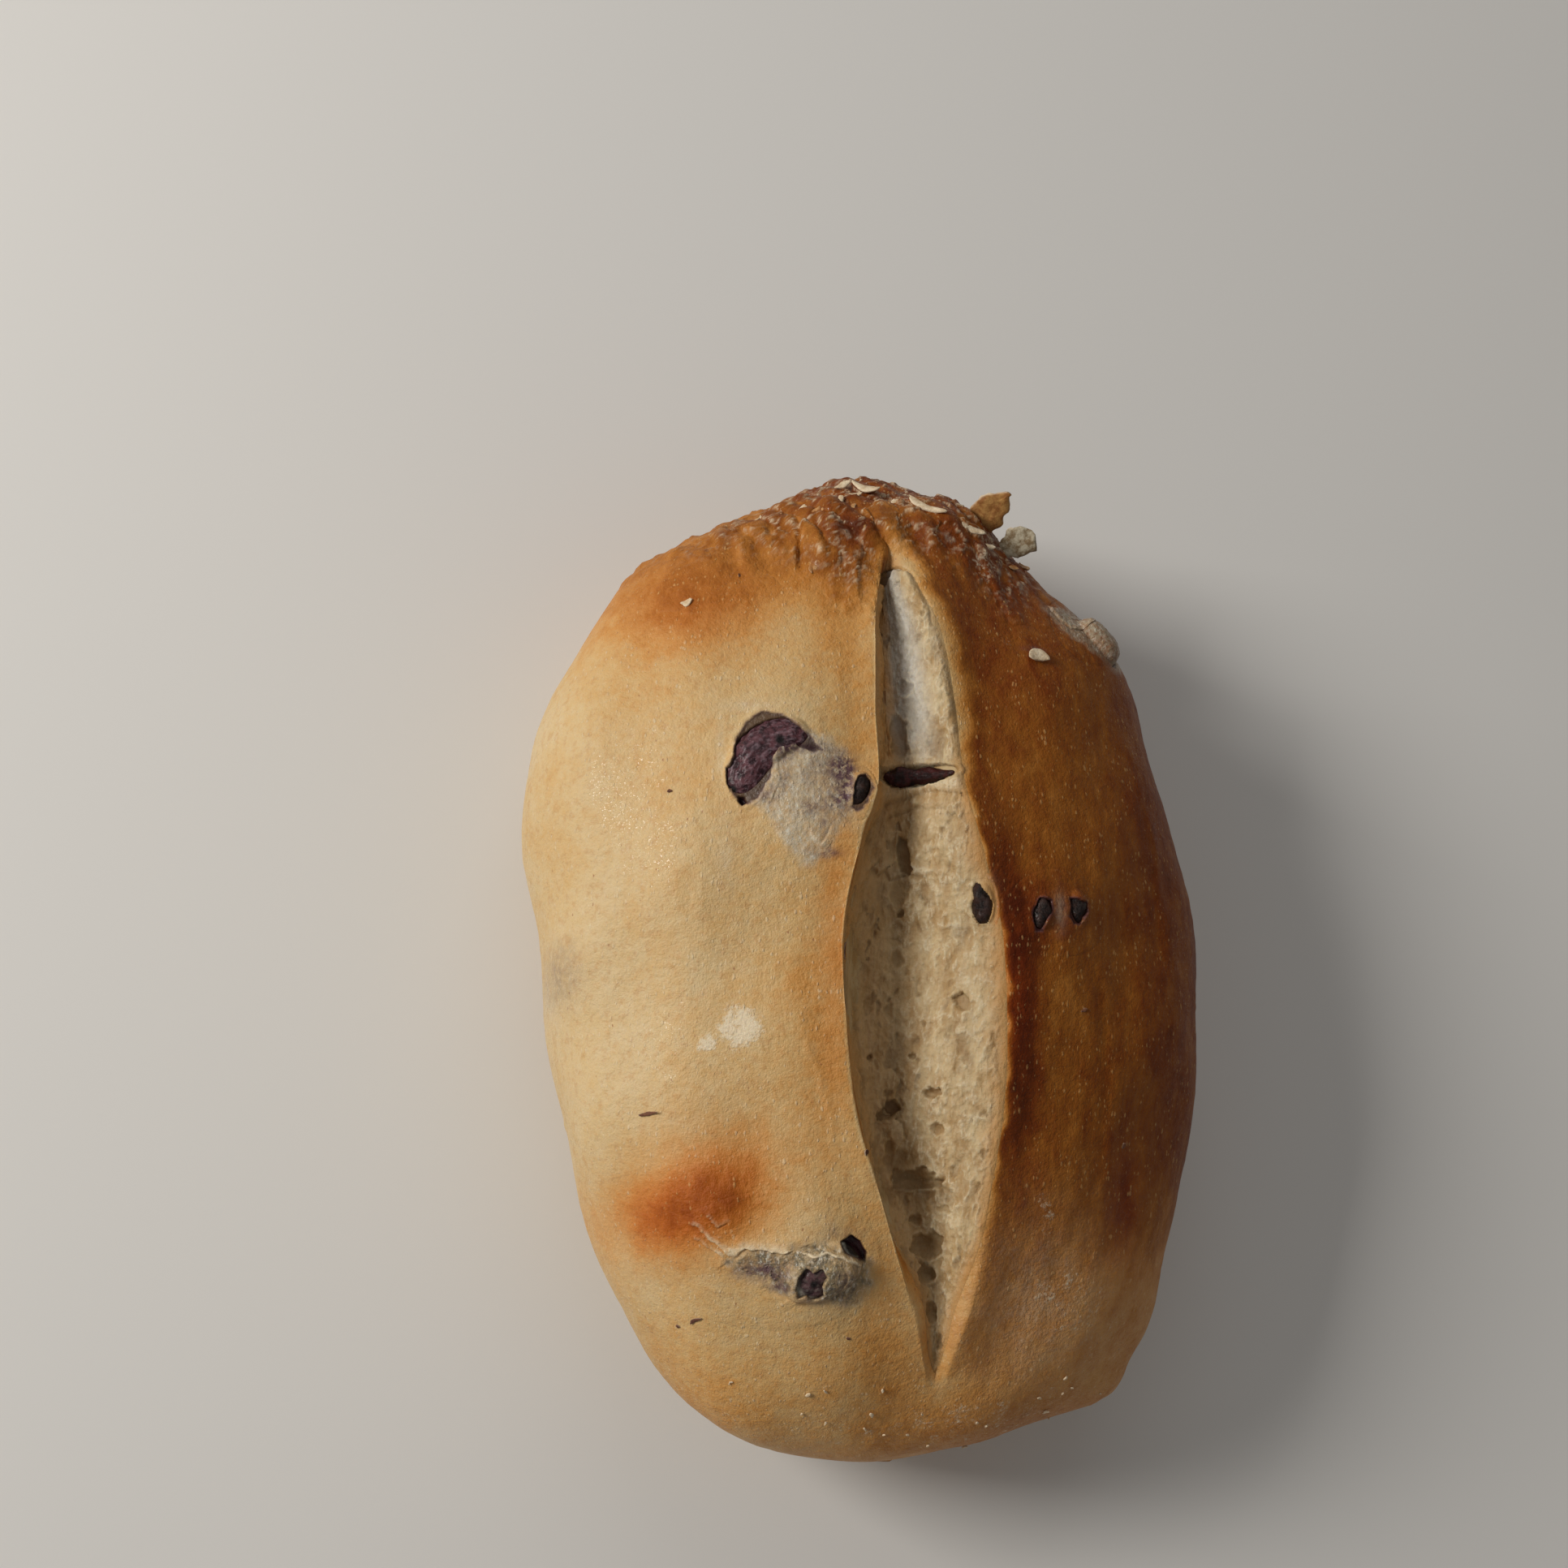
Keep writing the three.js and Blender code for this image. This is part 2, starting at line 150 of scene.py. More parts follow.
@dataclass(frozen=True)
class Flank:
    """One side of the roll, seen from above: widest at one place and closing to both ends.

    Its swells are rows of a place along the roll, how far the outline stands out there, and the spread.
    """

    width: float
    widest: float
    far_power: float
    near_power: float
    swells: Rows

    def reach(self, along: Array, half_length: float) -> Array:
        """Distance from the crown line to the outline.

        Args:
            along: Places along the roll.
            half_length: Half the roll's length.

        Returns:
            A superellipse with a power for each end, plus bells that fade out at the ends.
        """
        far = along > self.widest
        run = np.where(far, half_length - self.widest, half_length + self.widest)
        power = np.where(far, self.far_power, self.near_power)
        fade = np.maximum(1 - (along / half_length) ** 2, 0) ** 0.25
        swell = sum(out * bell(along - place, spread) for place, out, spread in self.swells)
        return self.width * rounded(np.abs(along - self.widest) / run, power) + fade * swell


@dataclass
class RollForm:
    """The roll's smooth form with its large relief and its slash, in millimetres, as the solid has it.

    The slash's stations are rows of a place along the roll, the places of both lips across it, and the
    depth. The crust's swells are rows of a place across and along, how far it stands out, and the spread.
    """

    half_length: float = 68
    height: float = 46
    mid_height: float = 18
    under_depth: float = 25
    base_round: float = 1.6
    base_angle: float = math.radians(47)
    section_power: float = 2.25
    length_power: float = 2.3
    crown_x: float = 0.65
    wall_share: float = 0.24
    floor_share: float = 0.36
    ridge_along: float = 20.2
    left_flank: Flank = Flank(46.2, 27, 1.64, 2.5, ((63, -3.8, 5), (55, 2.9, 8), (18, 1.6, 12)))
    right_flank: Flank = Flank(46.9, 0, 1.82, 2.4, ((53, -2, 5), (40.5, 2.2, 6), (27, -1, 6), (-53, 3.6, 8),
                                                    (-60, 5.8, 4), (-65.5, -3.2, 2.5)))
    stations: Rows = (
        (68, -1.5, 1.5, 0), (54, -1.4, 1.4, 0), (48, -2.3, 2.4, 3.2), (41, -3.4, 5.2, 5.2), (30, -4.1, 6.7, 6.2),
        (19, -4.1, 7.4, 6.6), (12, -6.5, 9, 7.2), (0, -8.8, 11.9, 8), (-12, -8.9, 12.4, 8.2), (-24, -7.5, 11.9, 7.6),
        (-35, -3.8, 10.1, 6.6), (-46, 0.2, 8.9, 5), (-53, 2.3, 7, 2.8), (-58, 3.6, 6.4, 0), (-68, 3, 6, 0))
    crust_swells: Rows = (
        (-25.5, -35.4, 1.3, 7), (-31, -38.3, 0.7, 5), (-18.5, 21, 0.8, 8), (-10, 14, 0.7, 6), (-12, -43, 1.2, 7),
        (-42, -4.7, 0.8, 6), (19, 2.8, 0.7, 7), (-5.5, 56, 1.2, 6), (8, 58, 1, 5), (31.5, 42, 1.1, 6),
        (27, 52, 0.6, 5))

    def __post_init__(self) -> None:
        """Sorts the stations from near to far and finds where the swells are centred."""
        self.fields = dict(zip(("along", "left", "right", "depth"), np.array(self.stations[::-1], float).T))
        self.centres = self.top_points(*np.array(self.crust_swells, float).T[:2])

    def station(self, name: str, along: Array) -> Array:
        """One field of the slash's stations on a smooth curve through them all.

        Args:
            name: left, right or depth.
            along: Places along the roll.

        Returns:
            Cubic curve with each station's slope taken across its neighbours.
        """
        knots, values = self.fields["along"], self.fields[name]
        index = np.arange(len(knots))
        after, before = np.minimum(index + 1, len(knots) - 1), np.maximum(index - 1, 0)
        slopes = (values[after] - values[before]) / (knots[after] - knots[before])
        i = np.clip(np.searchsorted(knots, along) - 1, 0, len(knots) - 2)
        span = knots[i + 1] - knots[i]
        t = (along - knots[i]) / span
        return ((2 * t ** 3 - 3 * t ** 2 + 1) * values[i] + (t ** 3 - 2 * t ** 2 + t) * span * slopes[i]
                + (3 * t ** 2 - 2 * t ** 3) * values[i + 1] + (t ** 3 - t ** 2) * span * slopes[i + 1])

    def lips(self, along: Array) -> tuple[Array, Array]:
        """Places of the slash's left and right lip across the roll."""
        return self.station("left", along), self.station("right", along)

    def width(self, across: Array, along: Array) -> Array:
        """Reach of the flank on whose side of the crown line a place lies."""
        right, left = (flank.reach(along, self.half_length) for flank in (self.right_flank, self.left_flank))
        return np.where(across > self.crown_x, right, left)

    def rise(self, along: Array) -> Array:
        """Share of the full height that the roll has at places along it."""
        return rounded(np.abs(along) / self.half_length, self.length_power)

    def slash_share(self, across: Array, along: Array) -> Array:
        """Share of the way from the slash's left lip to its right lip."""
        left, right = self.lips(along)
        return (across - left) / (right - left)

    def slash_depth(self, share: Array, along: Array) -> Array:
        """Depth of the slash.

        Args:
            share: Share of the way from the left lip to the right lip.
            along: Places along the roll.

        Returns:
            The stations' depth times a parabola for the left wall, softened to a smooth step near the near
            end, and a smooth step for the right side, less over the ridge, with a crease on its back.
        """
        wall = 1 - (1 - np.clip(share / self.wall_share, 0, 1)) ** 2
        wall = wall + (rising(share, 0, 0.6) - wall) * rising(-along, 33, 49)
        off_ridge = along - self.ridge_along
        depth = np.maximum(self.station("depth", along), 0)
        crease = 1.1 * bell(off_ridge, 1.2) * rising(depth, 0, 1)
        found = wall * falling(share, self.floor_share, 1) * (depth * (1 - 0.26 * bell(off_ridge, 3.4)) + crease)
        return np.where((share > 0) & (share < 1), found, 0)

    def lip_roll(self, across: Array, along: Array) -> Array:
        """Small upward turn of the crust along both lips.

        Args:
            across: Places across the roll.
            along: Places along it.

        Returns:
            The higher of two bells across the roll. The left one ends towards the near tip.
        """
        left, right = self.lips(along)
        rolled = 0.4 * bell(across - left, 2.2) * falling(-along, 34, 48)
        return rising(self.station("depth", along), 0, 4) * np.maximum(rolled, bell(across - right, 4))

    def opened(self, along: Array) -> Array:
        """1 where the slash is open, falling to 0 at its tips."""
        return rising(self.station("depth", along), 0.2, 1.8)

    def closing(self, along: Array) -> Array:
        """Share of the slash's width by which the crust runs in over each lip towards the near tip."""
        return 0.26 * rising(-along, 36, 51) + 0.18 * rising(-along, 51, 57.5)

    def lined(self, share: Array, along: Array) -> Array:
        """1 where crumb lines the slash, ending round at the far tip and softly at the near tip."""
        round_end = falling(along + 6 * np.square(share - 0.5), 49.7, 50.3)
        return self.opened(along) * rising(along, -57.8, -56.8) * round_end

    def bed(self, share: Array, along: Array) -> Array:
        """1 where the loaf makes room for the crumb, falling to 0 just inside both lips."""
        run = self.closing(along)
        return rising(share - run, 0.03, 0.12) * falling(share + run, 0.9, 0.955) * self.lined(share, along)

    def top_points(self, across: Array, along: Array) -> Array:
        """Points of the upper surface.

        Args:
            across: Places across the roll.
            along: Places along it.

        Returns:
            Points on a superellipse over the plan, lowered by the slash and raised at its lips.
        """
        across, along = np.broadcast_arrays(np.asarray(across, float), np.asarray(along, float))
        share = np.abs(across - self.crown_x) / self.width(across, along)
        dome = (self.height - self.mid_height) * self.rise(along) * rounded(share, self.section_power)
        level = self.mid_height + dome - self.slash_depth(self.slash_share(across, along), along)
        return np.stack([across, along, level + self.lip_roll(across, along)], axis=-1)

    def top_normals(self, across: Array, along: Array, step: float) -> Array:
        """Directions that the upper surface faces.

        Args:
            across: Places across the roll.
            along: Places along it.
            step: How far to each side the surface is read.

        Returns:
            Unit cross products of the differences eastwards and northwards.
        """
        east = self.top_points(across + step, along) - self.top_points(across - step, along)
        north = self.top_points(across, along + step) - self.top_points(across, along - step)
        facing = np.cross(east, north)
        return facing / np.linalg.norm(facing, axis=-1, keepdims=True)

    def seat(self, across: float, along: float, step: float, lift: float) -> tuple[Array, Matrix]:
        """Where something lies on the crust.

        Args:
            across: Its place across the roll.
            along: Its place along it.
            step: How far to each side the slope is read.
            lift: How far it stands off.

        Returns:
            Its middle, and the turn that lays it on the slope there.
        """
        point, normal = self.top_points(across, along), self.top_normals(across, along, step)
        tilt = Vector((0, 0, 1)).rotation_difference(Vector(normal)).to_matrix()
        return point + normal * (self.relief(point) + lift), tilt

    def relief(self, points: Array) -> Array:
        """How far the uneven crust stands off the smooth form.

        Args:
            points: Places on the smooth form.

        Returns:
            Bells round each swell, seven slow sine waves across turned directions, and the knuckles of the
            far end, a product of two sines bent by noise.
        """
        out = np.zeros(points.shape[:-1])
        for (_, _, stand, spread), centre in zip(self.crust_swells, self.centres):
            out += stand * bell(np.linalg.norm(points - centre, axis=-1), spread)
        x, y, z = points[..., 0], points[..., 1], points[..., 2]
        for i in range(7):
            run = x * math.cos(2.4 * i) + y * math.sin(2.4 * i) + 0.6 * z
            out -= 0.17 * np.sin(FULL_TURN * run / (17 + 4 * i) + 1.7 * i * i)
        turn = FULL_TURN / 6.2
        bend, other = smooth(points / 6, 91), smooth(points / 5, 93)
        knuckle = np.sin(turn * (x + 0.4 * y) + 1.8 * bend) * np.sin(turn * (0.8 * z - 0.5 * x) + 1.8 * other)
        return out + 0.5 * (1 + 0.5 * bend) * rising(y, 44, 60) * knuckle

    def section_angle(self, across: Array, along: Array) -> Array:
        """Angle round the section at which the dome stands.

        Args:
            across: Places across the roll.
            along: Places along it.

        Returns:
            The superellipse's angle, from the right flank over the top.
        """
        share = np.clip(np.abs(across - self.crown_x) / self.width(across, along), 0.01, 0.6)
        angle = np.arctan((share ** -self.section_power - 1) ** (1 / self.section_power))
        return np.where(across > self.crown_x, angle, math.pi - angle)

    def grid(self, rings: int, columns: tuple[int, int, int, int], crowding: float) -> Array:
        """The smooth form as a grid of rings from the far end to the near end, without the end points.

        Args:
            rings: Number of spaces between rings from end to end.
            columns: Number of columns on the base, the right flank, the slash and the left flank.
            crowding: How much closer the rings stand in the middle than at the ends.

        Returns:
            Rings by columns by three. The angle round a ring runs slower towards both lips of the slash.
        """
        share = np.arange(1, rings) / rings
        polar = math.pi * (share + crowding * np.sin(FULL_TURN * share) / math.pi)[:, None]
        along = self.run_at(polar)
        left, right = self.lips(along)
        full, base_left = np.ones_like(along), math.pi + self.base_angle
        stops = [(base_left - FULL_TURN) * full, -self.base_angle * full, self.section_angle(right, along),
                 self.section_angle(left, along), base_left * full]
        base, up, over, down = (np.arange(count) / count for count in columns)
        shares = [base, 1 - (1 - up) ** 1.4, over - 0.6 * np.sin(FULL_TURN * over) / FULL_TURN, down ** 1.4]
        angle = [low + (high - low) * part for low, high, part in zip(stops, stops[1:], shares)]
        return self.shell(polar, np.concatenate(angle, axis=1))

    def run_at(self, polar: Array) -> Array:
        """Place along the roll of a ring, from its angle between the far end, 0, and the near end, pi."""
        c, s, p = np.cos(polar), np.sin(polar), self.length_power
        return self.half_length * c / (np.abs(c) ** p + np.abs(s) ** p) ** (1 / p)

    def shell(self, polar: Array, angle: Array) -> Array:
        """Points of the smooth form.

        Args:
            polar: Angles of the rings, from the far end to the near end.
            angle: Angles round the section, from the right flank over the top to the left flank.

        Returns:
            Points on a superellipse round the section at each ring, cut by the slash.
        """
        along = self.run_at(polar) + 0 * angle
        ca, sa, q = np.cos(angle), np.sin(angle), self.section_power
        scale = (np.abs(ca) ** q + np.abs(sa) ** q) ** (1 / q)
        across = self.crown_x + self.width(self.crown_x + ca, along) * ca / scale
        reach = np.where(sa > 0, self.height - self.mid_height, self.under_depth)
        level = self.mid_height + reach * self.rise(along) * sa / scale
        cut = self.slash_depth(self.slash_share(across, along), along) - self.lip_roll(across, along)
        return np.stack([across, along, level - np.where(sa > 0, cut, 0)], axis=-1)

    def settle(self, level: Array) -> Array:
        """Heights set down on the base: a parabola rounds the edge off onto the flat."""
        r = self.base_round
        return np.where(level > r, level, np.square(np.clip(level, -r, r) + r) / (4 * r))


def grid_normals(points: Array, closed: bool = True) -> Array:
    """Outward directions of a grid.

    Args:
        points: Rings by columns by three.
        closed: Whether the last column meets the first.

    Returns:
        Unit cross products of the differences along and round the grid.
    """
    around = np.roll(points, -1, axis=1) - np.roll(points, 1, axis=1) if closed else np.gradient(points, axis=1)
    facing = np.cross(around, np.gradient(points, axis=0))
    return facing / np.maximum(np.linalg.norm(facing, axis=-1, keepdims=True), 1e-9)


def closed_faces(rings: int, sides: int, first: int = 0) -> list[list[int]]:
    """Faces of a skin over rings between two end points, which come first and last.

    Args:
        rings: Number of rings.
        sides: Vertices in a ring.
        first: Number of the first end point.

    Returns:
        Triangles at both ends and squares between the rings, all turning outwards.
    """
    side = np.arange(sides)
    after = (side + 1) % sides
    ring = first + 1 + sides * np.arange(rings)[:, None]
    start = np.stack([np.full(sides, first), ring[0] + after, ring[0] + side], axis=1)
    end = np.stack([np.full(sides, first + 1 + rings * sides), ring[-1] + side, ring[-1] + after], axis=1)
    walls = np.stack([ring[:-1] + side, ring[:-1] + after, ring[1:] + after, ring[1:] + side], axis=-1)
    return start.tolist() + end.tolist() + walls.reshape(-1, 4).tolist()


def skin_rows(rings: Array) -> Array:
    """Rings as one row for each vertex, with the means of the first and the last ring as end points."""
    flat = rings.reshape(-1, *rings.shape[2:])
    return np.concatenate([rings[0].mean(axis=0)[None], flat, rings[-1].mean(axis=0)[None]])


def add_piece(name: str, vertices: Array, faces: list[list[int]], masks: dict[str, Array],
              material: bpy.types.Material, slot: str = "", replaced: str = "") -> bpy.types.Object:
    """A smooth-shaded piece at the origin, dressed and, given a slot, made a child of the root body.

    Args:
        name: Name of the piece.
        vertices: Rows of three, in millimetres.
        faces: Vertex numbers of each face, turning outwards.
        masks: Values from 0 to 1 for each vertex, by name.
        material: Its material.
        slot: Any text makes the piece a child of the root body; none leaves it free, as for the setting.
        replaced: The solid that the piece stands for, if any.

    Returns:
        The object.
    """
    mesh = bpy.data.meshes.new(name)
    mesh.from_pydata((vertices * MM).tolist(), [], faces)
    for key, values in masks.items():
        layer = mesh.attributes.new(key, "FLOAT", "POINT")
        layer.data.foreach_set("value", np.clip(values, 0, 1).astype(np.float32))
    mesh.polygons.foreach_set("use_smooth", np.ones(len(mesh.polygons), bool))
    mesh.update()
    mesh.materials.append(material)
    piece = bpy.data.objects.new(name, mesh)
    bpy.context.scene.collection.objects.link(piece)
    if replaced:
        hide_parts(replaced)
    if slot:
        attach(piece, "root")
    LOG.info("%s: %d vertices, %s", name, len(vertices), material.name)
    return piece


def add_skin(name: str, rings: Array, masks: dict[str, Array], material: bpy.types.Material,
             replaced: str = "") -> None:
    """Adds a crust piece from a grid of rings and grids of its masks, closed at both ends."""
    rows = {key: skin_rows(values) for key, values in masks.items()}
    add_piece(name, skin_rows(rings), closed_faces(*rings.shape[:2]), rows, material, "crust", replaced)


class Value:
    """A shader value. Arithmetic on it adds Math nodes to its graph."""

    def __init__(self, graph: "Graph", socket: bpy.types.NodeSocket) -> None:
        """Keeps the graph and the output that gives the value."""
        self.graph, self.socket = graph, socket

    def also(self, output: str) -> "Value":
        """Another output of the same node."""
        return Value(self.graph, self.socket.node.outputs[output])

    def __add__(self, other: object) -> "Value":
        """The value plus another."""
        return self.graph.math("ADD", self, other)

    def __radd__(self, other: float) -> "Value":
        """A number plus the value."""
        return self.graph.math("ADD", other, self)

    def __sub__(self, other: object) -> "Value":
        """The value less another."""
        return self.graph.math("SUBTRACT", self, other)

    def __rsub__(self, other: float) -> "Value":
        """A number less the value."""
        return self.graph.math("SUBTRACT", other, self)

    def __mul__(self, other: object) -> "Value":
        """The value times another."""
        return self.graph.math("MULTIPLY", self, other)


class Graph:
    """Short way to write shader nodes: adds nodes, sets or links their sockets by name."""

    def __init__(self, tree: bpy.types.NodeTree) -> None:
        """Starts on an empty node tree."""
        self.tree = tree
        tree.nodes.clear()

    def node(self, kind: str, sockets: dict[str | int, object] | None = None, **settings: object) -> bpy.types.Node:
        """Adds one node.

        Args:
            kind: Blender's type name without its ShaderNode start.
            sockets: Shader values or plain ones for the node's inputs, by name or number.
            settings: The node's own settings.

        Returns:
            The node.
        """
        node = self.tree.nodes.new(kind if kind.startswith("NodeGroup") else "ShaderNode" + kind)
        for key, value in settings.items():
            setattr(node, key, value)
        for key, value in (sockets or {}).items():
            if isinstance(value, Value):
                self.tree.links.new(value.socket, node.inputs[key])
            else:
                node.inputs[key].default_value = value
        return node

    def add(self, kind: str, output: str | int, sockets: dict[str | int, object] | None = None,
            **settings: object) -> Value:
        """Adds one node and gives one of its outputs, by name or number."""
        return Value(self, self.node(kind, sockets, **settings).outputs[output])

    def math(self, operation: str, first: object, second: object) -> Value:
        """Result of a Math node on two values."""
        return self.add("Math", 0, {0: first, 1: second}, operation=operation)

    def mix(self, share: object, first: object, second: object, blend: str = "MIX") -> Value:
        """Colour blended from the first to the second by a share."""
        return self.add("Mix", 2, {0: share, 6: first, 7: second}, data_type="RGBA", blend_type=blend,
                        clamp_factor=True)

    def span(self, value: Value, low: float, high: float, to_low: float = 0, to_high: float = 1) -> Value:
        """Value carried smoothly from one range to another, held at its ends."""
        return self.add("MapRange", "Result", {"Value": value, "From Min": low, "From Max": high, "To Min": to_low,
                                               "To Max": to_high}, interpolation_type="SMOOTHSTEP")

    def attribute(self, name: str) -> Value:
        """Value stored on the mesh's vertices under a name."""
        return self.add("Attribute", "Fac", attribute_name=name, attribute_type="GEOMETRY")

    def noise(self, place: Value, size: float, detail: float = 3, roughness: float = 0.55) -> Value:
        """Noise from 0 to 1 with features of a size in millimetres."""
        return self.add("TexNoise", 0, {"Vector": place, "Scale": 1 / (size * MM), "Detail": detail,
                                        "Roughness": roughness})

    def stretched(self, place: Value, scale: tuple[float, float, float]) -> Value:
        """Place with its axes scaled, so that a pattern on it runs long one way."""
        return self.add("Mapping", 0, {"Vector": place, "Scale": scale})

    def bent(self, place: Value, size: float) -> Value:
        """Place pushed about by a noise, so that a pattern on it loses its regular form.

        Args:
            place: The place.
            size: Size of the noise in millimetres.

        Returns:
            The place plus half that size times the noise's colour.
        """
        drift = self.add("TexNoise", "Color", {"Vector": place, "Scale": 1 / (size * MM)})
        shift = self.add("VectorMath", 0, {0: drift, "Scale": 0.5 * size * MM}, operation="SCALE")
        return self.add("VectorMath", 0, {0: place, 1: shift}, operation="ADD")

    def ramp(self, value: Value, stops: Rows) -> Value:
        """Colour read from a ramp.

        Args:
            value: Where to read it.
            stops: Rows of a position and the red, green and blue there.

        Returns:
            The colour.
        """
        found = self.add("ValToRGB", 0, {"Fac": value})
        band = found.socket.node.color_ramp.elements
        while len(band) < len(stops):
            band.new(0.5)
        for element, (position, *colour) in zip(band, stops):
            element.position, element.color = position, (*colour, 1)
        return found

    def bump(self, height: Value, depth: float, strength: float = 1) -> Value:
        """Normal bent by a height from 0 to 1 that stands for a depth in millimetres."""
        return self.add("Bump", 0, {"Height": height, "Distance": depth * MM, "Strength": strength})

    def surface(self, sockets: dict[str | int, object]) -> None:
        """Closes a material with a Principled shader of these inputs."""
        self.node("OutputMaterial", {"Surface": self.add("BsdfPrincipled", 0, sockets)})


def new_material(name: str) -> tuple[bpy.types.Material, Graph]:
    """Starts a material.

    Args:
        name: Its name.

    Returns:
        The empty material and the graph to fill it with.
    """
    material = bpy.data.materials.new(name)
    material.use_nodes = True
    return material, Graph(material.node_tree)


class SharedEffects:
    """Flour in smears and grains, a shader node group that several finishes use."""

    def __init__(self) -> None:
        """Builds the group, which takes a colour, an amount and a place and gives a colour and the cover."""
        self.tree = bpy.data.node_groups.new("flour_dusting", "ShaderNodeTree")
        for name, way, kind in (("Color", "INPUT", "Color"), ("Amount", "INPUT", "Float"),
                                ("Place", "INPUT", "Vector"), ("Color", "OUTPUT", "Color"),
                                ("Cover", "OUTPUT", "Float")):
            self.tree.interface.new_socket(name, in_out=way, socket_type="NodeSocket" + kind)
        g = Graph(self.tree)
        colour = g.add("NodeGroupInput", "Color")
        amount, place = colour.also("Amount"), colour.also("Place")
        smear, grains = g.noise(place, 2.6, 6, 0.7), g.noise(place, 0.45, 2, 0.6)
        cover = g.span(smear * 0.65 + grains * 0.35 - (0.82 - amount * 0.5), -0.04, 0.16)
        cover = cover * g.math("MINIMUM", amount * 3, 1)
        tint = g.mix(grains, (0.74, 0.6, 0.4, 1), (0.88, 0.78, 0.6, 1))
        g.node("NodeGroupOutput", {"Color": g.mix(cover * 0.85, colour, tint), "Cover": cover})

    def dusted(self, place: Value, colour: Value, amount: object) -> Value:
        """Colour of the flour over a colour in a material. The same node also gives the Cover."""
        return place.graph.add("Group", "Color", {"Color": colour, "Amount": amount, "Place": place},
                               node_tree=self.tree)


